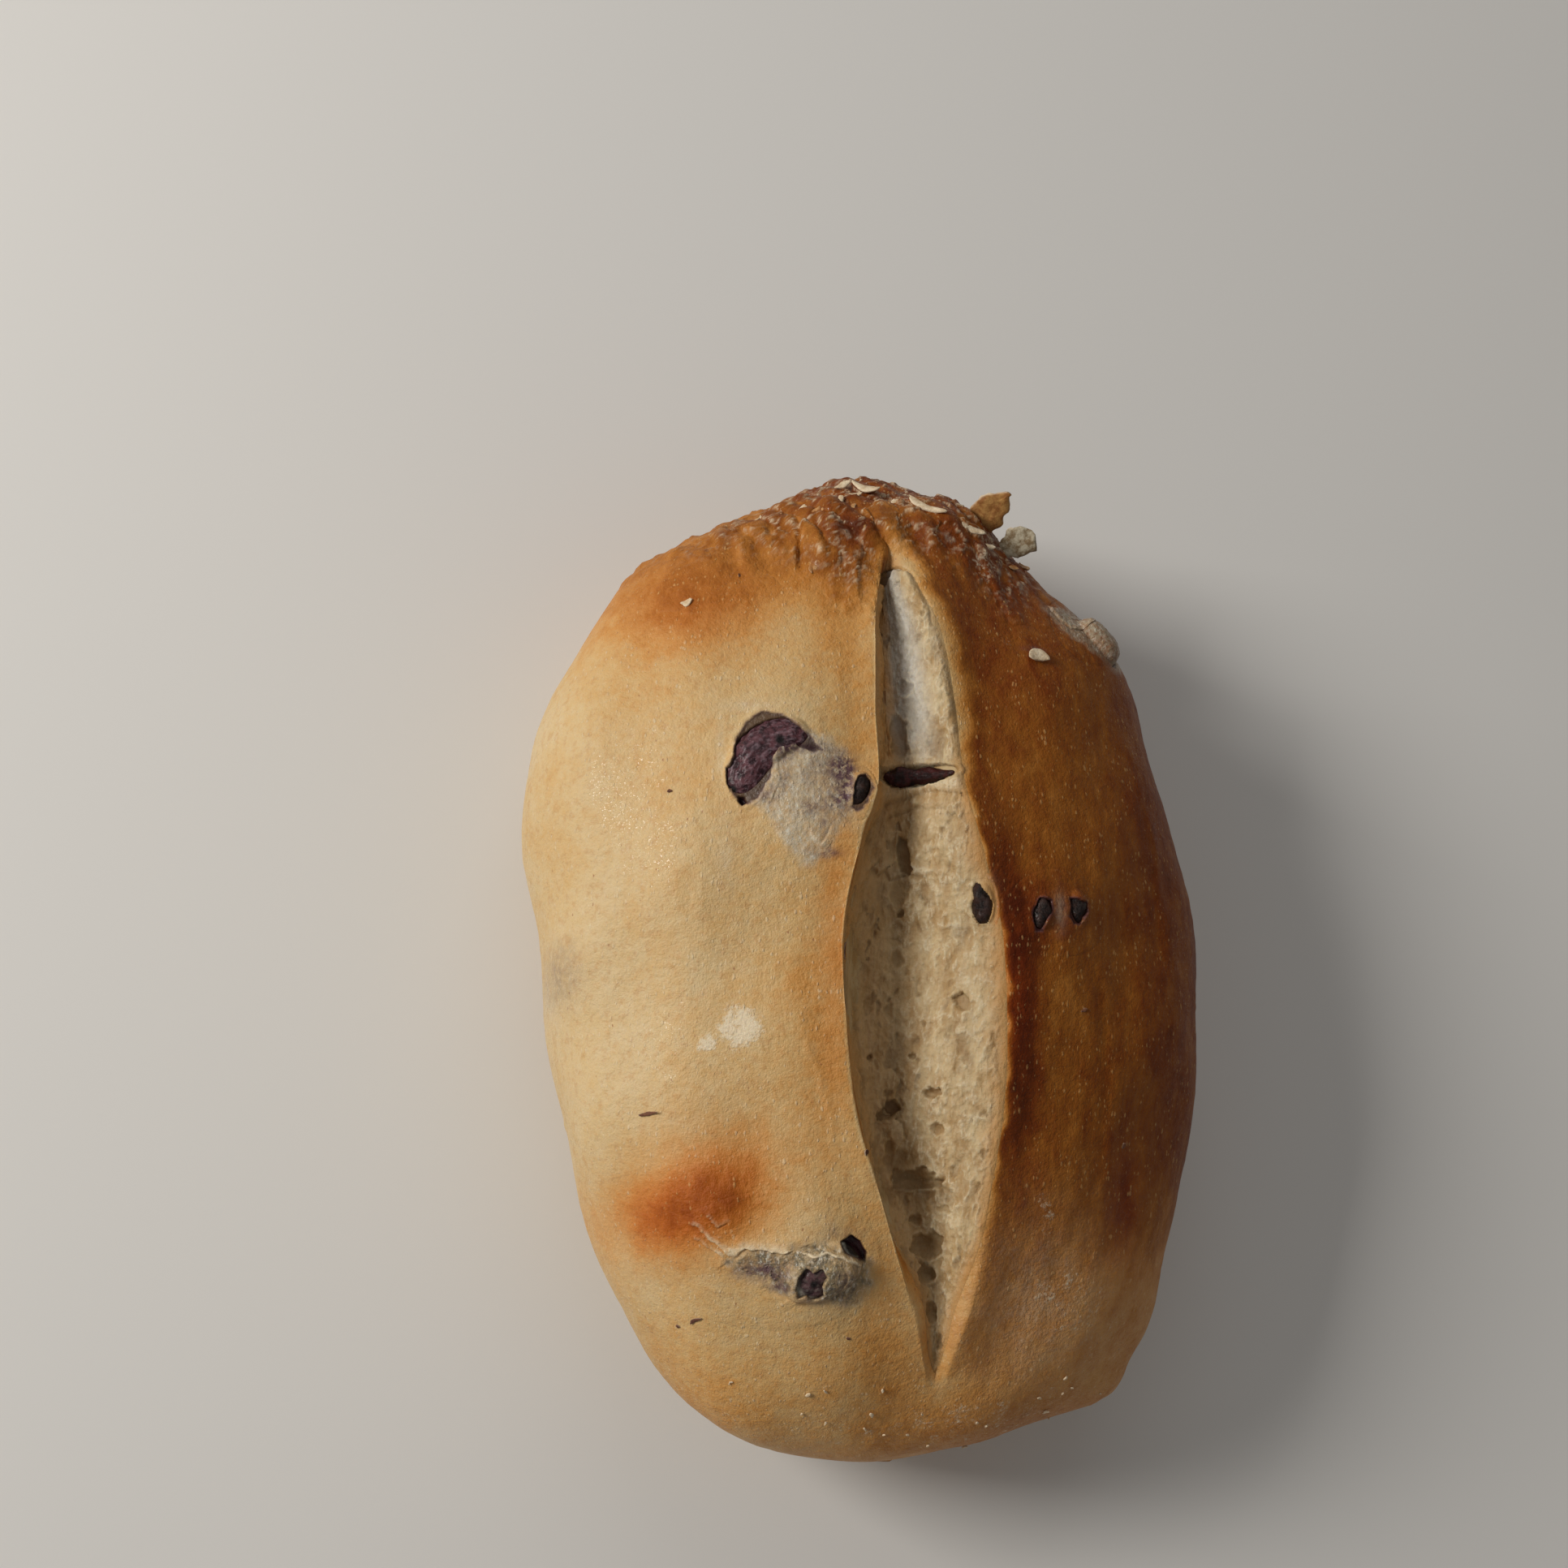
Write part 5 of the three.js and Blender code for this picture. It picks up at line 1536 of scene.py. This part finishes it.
        # Beside the left lip partly toast and partly painted shade; over the middle and the far chamber's left third,
        # painted shade of the left lip; by the right lip, toast.
        toast_and_shade = 0.5 * falling(from_left + 0.02 * fray, 0.04, 0.18)
        toast_and_shade = toast_and_shade + 0.5 * falling(share + 0.05 * fray, 0.14, 0.6) * (1 - cool)
        toast_and_shade = toast_and_shade + 0.6 * falling(share + 0.1 * fray, 0.2, 0.5) * rising(y, 20, 26)
        toast_and_shade = toast_and_shade + (0.95 - 0.4 * later) * rising(to_right + 0.04 * fray - 0.07 * later, 0.82, 0.98)
        toast_and_shade = toast_and_shade + 0.1 * rising(-y, 38, 50) + 0.14 * bell(y - 17, 4)
        masks = {"pore_shade": pore_shade * window, "thread_and_highlight": thread_and_highlight * window, "toast_and_shade": toast_and_shade, "cool": cool}
        masks = {key: np.concatenate([values, 0 * low[..., 0]], axis=1)[:, ::-1] for key, values in masks.items()}
        points = np.concatenate([top + facing * push[..., None], low], axis=1)[:, ::-1]
        add_skin("crumb_in_slash", points, masks, material)


@dataclass
class TornSkin:
    """A finely made patch of the crust over olives, with the film of dough and the holes they lie in."""

    loaf: Loaf
    tear: Tear
    under_rings: int = 6
    under: float = 2

    def place(self, radius: Array, angle: Array) -> tuple[Array, Array]:
        """Points of the roll's large form over the patch.

        Args:
            radius: Shares of the way from the patch's middle to its rim.
            angle: Directions round its middle.

        Returns:
            The points and the directions they face.
        """
        form, tear = self.loaf.form, self.tear
        x = tear.across + tear.wide * radius * np.cos(angle)
        y = tear.along + tear.long * radius * np.sin(angle)
        plain, facing = form.top_points(x, y), form.top_normals(x, y, 0.6)
        return plain + facing * form.relief(plain)[..., None], facing

    def build(self, material: bpy.types.Material) -> None:
        """Makes the patch.

        Args:
            material: The crust's material. Over a polar grid, the crust's own relief is lifted by a film
                that clears the olive's back, falls below that back inside the opening, and dips under the
                crust at the rim. A few rings lower down close the patch from beneath.
        """
        tear = self.tear
        radius = (np.arange(tear.rings)[:, None] + 0.5) / tear.rings
        angle = -FULL_TURN * np.arange(tear.sides)[None, :] / tear.sides
        large, facing = self.place(radius, angle)
        x, y = large[..., 0], large[..., 1]
        fray = layered(large / 1.1, 4, 61)
        fibre = (1 - np.abs(layered(large / np.array([0.7, 1.9, 0.9]) + 0.5 * fray[..., None], 4, 63))) ** 3
        crown, cover = np.full(x.shape, -9.0), np.zeros(x.shape)
        for piece in self.loaf.olives:
            if piece.olive.node in tear.nodes:
                share, level, back = piece.spans(large)
                own = back - level + 0.14
                clear = 0.5 * (own + np.sqrt(np.square(own) + 0.02)) * falling(share, 0.9, 1.15)
                crown, cover = np.maximum(crown, own - 0.14), np.maximum(cover, clear)
        masks = self.loaf.masks(large, np.ones_like(x))
        inside = np.max([depth_inside(outline, x, y) for outline in tear.openings], axis=0) + 0.25 * fray
        holes = [depth_inside(outline, x, y) for outline in tear.holes] or [np.full(x.shape, -9.0)]
        holed = np.max(holes, axis=0) + 0.15 * fray
        opened, soft = rising(inside, -0.1, 0.25), 1 - 0.75 * masks["grey"]
        bits = np.maximum(layered(large / 0.55, 3, 67) - 0.1, 0) * (0.2 + 0.8 * masks["grey"])
        wrinkles = masks["veil"] * (0.06 * (fibre - 0.4) + 0.1 * layered(large / 1.1, 5, 65) + 0.4 * bits)
        lip = 0.1 * bell(inside + 0.4, 0.4) * rising(tear.wide, 1.7, 6)
        raised = sum(ridge.height(x, y, 0.2 * fray) for ridge in tear.ridges) + 0 * x
        push = self.loaf.fine_relief(large) + cover + wrinkles + lip + raised
        floor = -0.14 - 0.8 * soft * rising(crown, -0.1, 0.25) + 0.08 * fibre
        push = push * (1 - opened) + floor * opened - 0.9 * rising(holed, -0.1, 0.3)
        push = push + 0.05 - 0.14 * rising(radius, 0.84, 0.98) - 0.5 * rising(radius, 0.97, 1)
        masks["veil"] = masks["veil"] * (0.75 + 0.5 * fibre)
        masks["stain"] = np.maximum(masks["stain"], 0.8 * soft * bell(inside, 0.22))
        # The openings' floor takes the olive-stained colour; the small holes are painted shade.
        masks["raw_and_shade"] = np.maximum(0.85 * soft * rising(inside, -0.12, 0.12), rising(holed, -0.15, 0.1))
        masks["peel"] = 0.9 * rising(raised, 0.1, 0.3) * (1 - opened)
        low = 1 - np.arange(self.under_rings)[:, None] / self.under_rings
        beneath, down = self.place(low, angle)
        beneath = beneath - down * (0.7 + self.under * (1 - low ** 2))[..., None]
        masks = {key: np.concatenate([values, 0 * beneath[..., 0]]) for key, values in masks.items()}
        add_skin(tear.name, np.concatenate([large + facing * push[..., None], beneath]), masks, material)


@dataclass
class OliveSet:
    """All pieces of olive, each in the tone that its place in the crust gives it."""

    pieces: list[OlivePiece]
    rings: int = 56
    sides: int = 44
    flesh: Rows = ((-12.6, -44.2, 2.2, 2.4, 1), (-10, -45.4, 1.6, 1, 0.8), (32.6, 43.4, 1.4, 2, 1))

    def build(self) -> None:
        """Makes every piece, in place of the solid of its name."""
        finishes = {
            Tone.BLACK: OliveFinish("olive_black", (0.006, 0.0025, 0.002, 1), (0.035, 0.013, 0.009, 1),
                                    (0.2, 0.14, 0.12, 1), 0.12),
            Tone.PURPLE: OliveFinish("olive_purple", (0.022, 0.005, 0.009, 1), (0.12, 0.04, 0.05, 1),
                                     (0.38, 0.26, 0.3, 1), 0.25),
            Tone.WINE: OliveFinish("olive_wine", (0.008, 0.0012, 0.0016, 1), (0.05, 0.006, 0.007, 1),
                                   (0.16, 0.05, 0.05, 1), 0.1),
            Tone.SKINNED: OliveFinish("olive_skinned", (0.035, 0.014, 0.018, 1), (0.12, 0.055, 0.06, 1),
                                      (0.42, 0.4, 0.32, 1), 0.25)}
        materials = {tone: finish.build() for tone, finish in finishes.items()}
        for piece in self.pieces:
            tone, finer = piece.olive.tone, 1 if piece.small else 2
            rings, sides = self.rings * finer, self.sides * finer
            vertices, fibre = piece.skin(rings, sides)
            # The pale film on the fibres' backs is a painted sheen; on skinned pieces the film round the flesh
            # patches is real pale skin.
            skin_and_sheen = rising(fibre, 0.6, 0.98) * (0.45 if tone is Tone.PURPLE else 0.15)
            if tone is Tone.SKINNED:
                flesh = patched(self.flesh, vertices[:, 0], vertices[:, 1])
                skin_and_sheen = np.maximum(skin_and_sheen, falling(flesh, 0.3, 0.7))
            add_piece(piece.olive.node + "_flesh", vertices, closed_faces(rings - 1, sides),
                      {"shaded_pit": piece.pit_shade_mask(vertices), "film": skin_and_sheen}, materials[tone], "olive", piece.olive.node)


@dataclass(frozen=True)
class Chip:
    """A thin flake on the roll: place, size, turn, how far it tips up and how far it stands off."""

    across: float
    along: float
    length: float
    width: float
    turn: float
    pitch: float = 8
    lift: float = 0.15
    thick: float = 0.3
    moon: bool = False


@dataclass(frozen=True)
class Shard:
    """A torn shard of crust that stands up at the far end: place, size and the way it points."""

    at: tuple[float, float, float]
    length: float
    width: float
    thick: float
    pitch: float
    yaw: float
    profile: Rows
    drift: Rows


@dataclass
class FlakeSet:
    """Loose and torn bits: pale flakes, browned flakes, bran, and the standing shards."""

    form: RollForm
    rings: int = 8
    sides: int = 24
    shard_rings: int = 60
    shard_sides: int = 48
    pale: tuple[Chip, ...] = (
        Chip(5.7, 58.8, 5.6, 1.7, -40, 10, 0.9, 0.6), Chip(-4.8, 63.4, 3.2, 1.5, 35, 12, 0.9, 0.4),
        Chip(-1.6, 62.9, 3.8, 2, -30, 8, 0.9, 0.5), Chip(12, 56.4, 3.6, 1.9, -12, 8, 0.9, 0.5),
        Chip(14.6, 54.9, 1.5, 1, 10, 8, 0.8, 0.4), Chip(-3.6, 61.2, 1.7, 0.8, 4, 8, 0.8),
        Chip(-6.2, 59.6, 2.6, 1.1, 75, 10, 0.8, 0.4), Chip(1.6, 60.4, 1.5, 1.3, 10, 6, 0.9, 0.5),
        Chip(-11.4, 58.8, 2.2, 1.2, 40, 10, 0.7), Chip(19.4, 37.6, 3.3, 3.4, -2, 4, 0.5, 0.4, True),
        Chip(-27.6, 44.3, 1.7, 1.1, 20, 6, 0.1))
    browned: tuple[Chip, ...] = (
        Chip(-5.6, 58.8, 4.4, 1.6, 2, 12, 0.45, 0.5), Chip(-9.8, 57.6, 3, 1.4, 75, 14, 0.4, 0.5),
        Chip(14.2, 55.2, 2.6, 1.3, -40, 12, 0.4), Chip(21.4, 54.2, 2.4, 1.2, -70, 20, 0.5, 0.5),
        Chip(18.8, 53, 1.6, 0.9, 10, 20, 0.4), Chip(-15.2, 58, 3, 1, 30, 8, 0.3),
        Chip(-11.4, 49.6, 2.2, 0.7, 80, 6, 0.2))
    bran: tuple[Chip, ...] = (
        Chip(-32.4, -23.4, 3.3, 0.5, 12, 2, 0.08, 0.25), Chip(-25.6, -49, 2.4, 0.6, 28, 2, 0.08, 0.25),
        Chip(-27.6, -50, 0.7, 0.6, 0, 2, 0.06, 0.25), Chip(-30.7, 17.6, 0.7, 0.5, 0, 2, 0.05),
        Chip(23.4, -10.1, 1, 0.5, 30, 2, 0.05), Chip(30.3, -27.3, 1.1, 0.6, 70, 2, 0.05),
        Chip(-7.2, -51.1, 0.6, 0.5, 0, 2, 0.05), Chip(-6.4, -28.5, 1, 0.8, 40, 2, 0.1),
        Chip(-8, -3, 2.2, 0.7, 82, 2, 0.05, 0.3), Chip(-16.4, 52.2, 0.5, 0.3, 90, 2, 0.05),
        Chip(-20.9, 48.6, 0.7, 0.3, 85, 2, 0.05))
    shards: tuple[Shard, ...] = (
        Shard((15.9, 61.5, 30.4), 9.6, 5, 1.5, 42, 62, ((-1, -0.5, 0, 0.45, 0.75, 1), (0.45, 0.8, 1, 0.9, 0.5, 0.1)),
            ((-1, 0, 0.6, 1), (0.1, 0, -0.15, -0.4))),
        Shard((19.8, 57.3, 30.1), 7, 4.6, 1.6, 22, 38, ((-1, -0.3, 0.2, 0.7, 1), (0.35, 0.6, 1, 0.85, 0.2)),
            ((-1, 0.2, 0.7, 1), (0.2, 0, -0.2, -0.1))))

    def scattered(self, seed: int, count: int, across: tuple[float, float], along: tuple[float, float],
                  sizes: tuple[float, float]) -> list[Chip]:
        """Small flakes strewn over a part of the roll by a seeded draw.

        Args:
            seed: Start of the draw.
            count: Number of flakes.
            across: Range across the roll.
            along: Range along it.
            sizes: Smallest and largest length.

        Returns:
            The flakes, those beyond the outline left out.
        """
        draw = np.random.default_rng(seed)
        x, y = draw.uniform(*across, count), draw.uniform(*along, count)
        length = sizes[0] + (sizes[1] - sizes[0]) * draw.random(count) ** 2
        width = length * draw.uniform(0.35, 0.7, count)
        turn, pitch = draw.uniform(0, 180, count), draw.uniform(0, 25, count)
        inside = np.abs(x - self.form.crown_x) < 0.93 * self.form.width(x, y)
        rows = np.stack([x, y, length, width, turn, pitch], axis=1)[inside]
        return [Chip(*row, lift=0.12 + 0.1 * row[2], thick=0.2 + 0.08 * row[2]) for row in rows.tolist()]

    def chip_skin(self, chip: Chip) -> tuple[Array, Array]:
        """One flake's surface.

        Args:
            chip: The flake.

        Returns:
            Rows of three and rim masks. The rim is the nearest of six straight cuts at hashed turns and
            distances, frayed by noise, or a half moon. The reach follows a low power of the sine of the
            first parameter, and the whole is bowed along its length.
        """
        polar = math.pi * np.arange(1, self.rings)[:, None] / self.rings
        angle = -FULL_TURN * np.arange(self.sides)[None, :] / self.sides
        seed = np.array([chip.across, chip.along, chip.turn])
        number = np.arange(6)
        keys = np.stack([number, 0 * number + round(37 * chip.across), 0 * number + round(53 * chip.along)], axis=-1)
        cuts = (number + 0.8 * hashed(keys, 33) - 0.4) * math.pi / 3
        facing = np.maximum(np.cos(angle[0][:, None] - cuts), 0.15)
        ragged = np.min((0.62 + 0.5 * hashed(keys, 35)) / facing, axis=1)[None, :]
        rim = np.stack([np.cos(angle), np.sin(angle), 0 * angle], axis=-1)
        ragged = ragged * (1 + 0.16 * layered(2.4 * rim + seed, 2, 13))
        if chip.moon:
            ragged = np.minimum(1, 0.12 / np.maximum(-np.sin(angle), 0.12)) * (0.92 + 0.08 * ragged)
        reach = np.sin(polar) ** 0.35 * ragged
        x, y = chip.length / 2 * reach * np.cos(angle), chip.width / 2 * reach * np.sin(angle)
        bow = 0.1 * chip.length * (2 * x / chip.length) ** 2
        bow = bow + 0.12 * layered(np.stack([x, y, 0 * x], axis=-1) / 0.9 + seed, 2, 15)
        local = np.stack([x, y, chip.thick / 2 * np.cos(polar) + bow], axis=-1)
        point, tilt = self.form.seat(chip.across, chip.along, 1, chip.lift)
        turned = tilt @ spin(chip.turn, "Z") @ spin(-chip.pitch, "Y")
        rim = 0.6 * rising(np.sin(polar), 0.8, 1) + 0 * angle
        return skin_rows(point + local @ np.array(turned).T), skin_rows(rim)

    def shard_skin(self, shard: Shard) -> tuple[Array, Array]:
        """One standing shard's surface.

        Args:
            shard: The shard.

        Returns:
            Rows of three, and how close each lies to the rim. A flat section, whose width and sideways
            place run in straight pieces, is carried along a bowed line and torn by noise.
        """
        run = np.linspace(-1, 1, self.shard_rings - 1)[:, None]
        angle = FULL_TURN * np.arange(self.shard_sides)[None, :] / self.shard_sides
        reach, drift = np.interp(run, *shard.profile), np.interp(run, *shard.drift)
        flat = (np.abs(np.cos(angle)) ** 3 + np.abs(np.sin(angle)) ** 3) ** (-1 / 3)
        side = shard.width / 2 * (reach * flat * np.cos(angle) + drift)
        up = shard.thick / 2 * (0.35 + 0.65 * reach) * flat * np.sin(angle) + 0.1 * shard.length * run ** 2
        local = np.stack([shard.length / 2 * run + 0 * angle, side, up], axis=-1)
        ragged = layered(local / 1.3 + shard.yaw, 3, 21)
        local = local + ragged[..., None] * np.array([0.12, 0.5, 0.22])
        turned = np.array(spin(shard.yaw, "Z") @ spin(-shard.pitch, "Y"))
        rim = rising(np.abs(np.cos(angle)), 0.8, 1) * rising(ragged, -0.4, 0.3)
        return skin_rows(np.array(shard.at) + local @ turned.T), skin_rows(rim)

    def build(self, effects: SharedEffects) -> None:
        """Makes all flakes, one piece of several skins for each finish.

        Args:
            effects: Shared node groups.
        """
        pale = list(self.pale) + self.scattered(3, 46, (-22, 26), (56.5, 66.5), (0.5, 1.8))
        pale += self.scattered(5, 30, (-24, 30), (-66.5, -56), (0.4, 1))
        browned = list(self.browned) + self.scattered(7, 36, (-24, 27), (54, 66.5), (0.6, 2.2))
        finishes = (FlakeFinish("flour_skin", (0.62, 0.45, 0.27, 1), (0.84, 0.7, 0.5, 1), 0.5),
                    FlakeFinish("browned_skin", (0.36, 0.13, 0.03, 1), (0.6, 0.33, 0.13, 1), 0.25),
                    FlakeFinish("dark_bran", (0.1, 0.035, 0.02, 1), (0.24, 0.1, 0.05, 1), 0))
        names = ("pale_flakes", "browned_flakes", "bran_flecks")
        sets = [(name, [self.chip_skin(chip) for chip in chips], self.rings - 1, self.sides, finish)
                for name, chips, finish in zip(names, (pale, browned, self.bran), finishes)]
        finishes = (FlakeFinish("shard_crust_1", (0.28, 0.11, 0.025, 1), (0.46, 0.24, 0.07, 1), 0.1),
                    FlakeFinish("shard_crust_2", (0.2, 0.13, 0.06, 1), (0.5, 0.44, 0.32, 1), 0.3))
        for number, (shard, finish) in enumerate(zip(self.shards, finishes), 1):
            skins = [self.shard_skin(shard)]
            sets.append((f"crust_shard_{number}", skins, self.shard_rings - 1, self.shard_sides, finish))
        for name, skins, rings, sides, finish in sets:
            vertices, rims = (np.concatenate(rows) for rows in zip(*skins))
            faces = [face for number in range(len(skins))
                     for face in closed_faces(rings, sides, number * len(skins[0][0]))]
            add_piece(name, vertices, faces, {"rim": rims}, finish.build(effects), "crust")


@dataclass(frozen=True)
class Viewpoint:
    """The camera of the photograph: its lean from straight above and where it aims."""

    lean: float = 14
    tilt: float = 8
    roll: float = -0.6
    distance: float = 0.299
    aim_height: float = 0.022
    aim_pixel: tuple[float, float] = (1069.7, 1171.5)
    frame_side: float = 1932
    focal_pixels: float = 2654
    sensor: float = 36

    def build(self) -> None:
        """Makes the scene's camera.

        It leans at its distance from the aim point, turned so that this point falls on its pixel.
        """
        lean, tilt = math.radians(self.lean), math.radians(self.tilt)
        back = Vector((-math.sin(lean), -math.cos(lean) * math.sin(tilt), math.cos(lean) * math.cos(tilt)))
        up = (Vector((0, 1, 0)) - back * back.y).normalized()
        level = Matrix((up.cross(back), up, back)).transposed()
        middle = self.frame_side / 2
        ray = Vector(((self.aim_pixel[0] - middle) / self.focal_pixels,
                      (middle - self.aim_pixel[1]) / self.focal_pixels, -1)).normalized()
        turned = level @ spin(self.roll, "Z") @ ray.rotation_difference(Vector((0, 0, -1))).to_matrix()
        data = bpy.data.cameras.new("camera")
        data.sensor_width = self.sensor
        data.lens = self.focal_pixels / self.frame_side * self.sensor
        data.clip_start, data.clip_end = 0.01, 20
        camera = bpy.data.objects.new("camera", data)
        target = Vector((0, 0, self.aim_height))
        camera.matrix_world = Matrix.Translation(target + back * self.distance) @ turned.to_4x4()
        bpy.context.scene.collection.objects.link(camera)
        bpy.context.scene.camera = camera


@dataclass
class Studio:
    """Plain pale floor and soft lights. Lights are rows of a name, a place, a side, a power and a colour."""

    floor_side: float = 6
    floor_colour: Colour = (0.78, 0.77, 0.75, 1)
    glow: Colour = (1, 0.97, 0.93, 1)
    glow_strength: float = 0.16
    lights: tuple[tuple[str, tuple, float, float, tuple], ...] = (
        ("key", (-0.65, 0.17, 0.43), 0.28, 4.5, (1, 0.96, 0.9)),
        ("fill", (0.4, -0.5, 0.7), 0.8, 0.25, (1, 0.97, 0.93)),
        ("back", (0, 0.7, 0.5), 0.5, 0.7, (1, 0.98, 0.95)))

    def build(self) -> None:
        """Makes the floor, the lights, each a soft square that faces the roll, and the surrounding glow."""
        corners = self.floor_side / 2 / MM * np.array([[-1, -1, 0], [1, -1, 0], [1, 1, 0], [-1, 1, 0]])
        material, g = new_material("floor_paper")
        g.surface({"Base Color": self.floor_colour, "Roughness": 0.9})
        add_piece("floor", corners, [[0, 1, 2, 3]], {}, material)
        for name, place, side, power, colour in self.lights:
            data = bpy.data.lights.new(name, "AREA")
            data.size, data.energy, data.color = side, power, colour
            light = bpy.data.objects.new(name, data)
            light.location = place
            light.rotation_euler = (Vector((0, 0, 0.02)) - Vector(place)).to_track_quat("-Z", "Y").to_euler()
            bpy.context.scene.collection.objects.link(light)
        world = bpy.data.worlds.new("glow")
        world.use_nodes = True
        inputs = world.node_tree.nodes["Background"].inputs
        inputs["Color"].default_value, inputs["Strength"].default_value = self.glow, self.glow_strength
        bpy.context.scene.world = world
        bpy.context.scene.view_settings.view_transform = "Standard"


def main() -> None:
    """Builds the camera, the roll and its setting."""
    logging.basicConfig(level=logging.INFO)
    Viewpoint().build()
    Studio().build()
    effects = SharedEffects()
    form = RollForm()
    olives = [OlivePiece(olive, form) for olive in OLIVES]
    loaf = Loaf(form, olives)
    crust = CrustFinish().build(effects)
    loaf.build(crust)
    for tear in TEARS:
        TornSkin(loaf, tear).build(crust)
    PeeledEnd(loaf).build(crust)
    CrumbBed(loaf).build(CrumbFinish().build())
    OliveSet(olives).build()
    FlakeSet(form).build(effects)


if __name__ == "__main__":
    main()
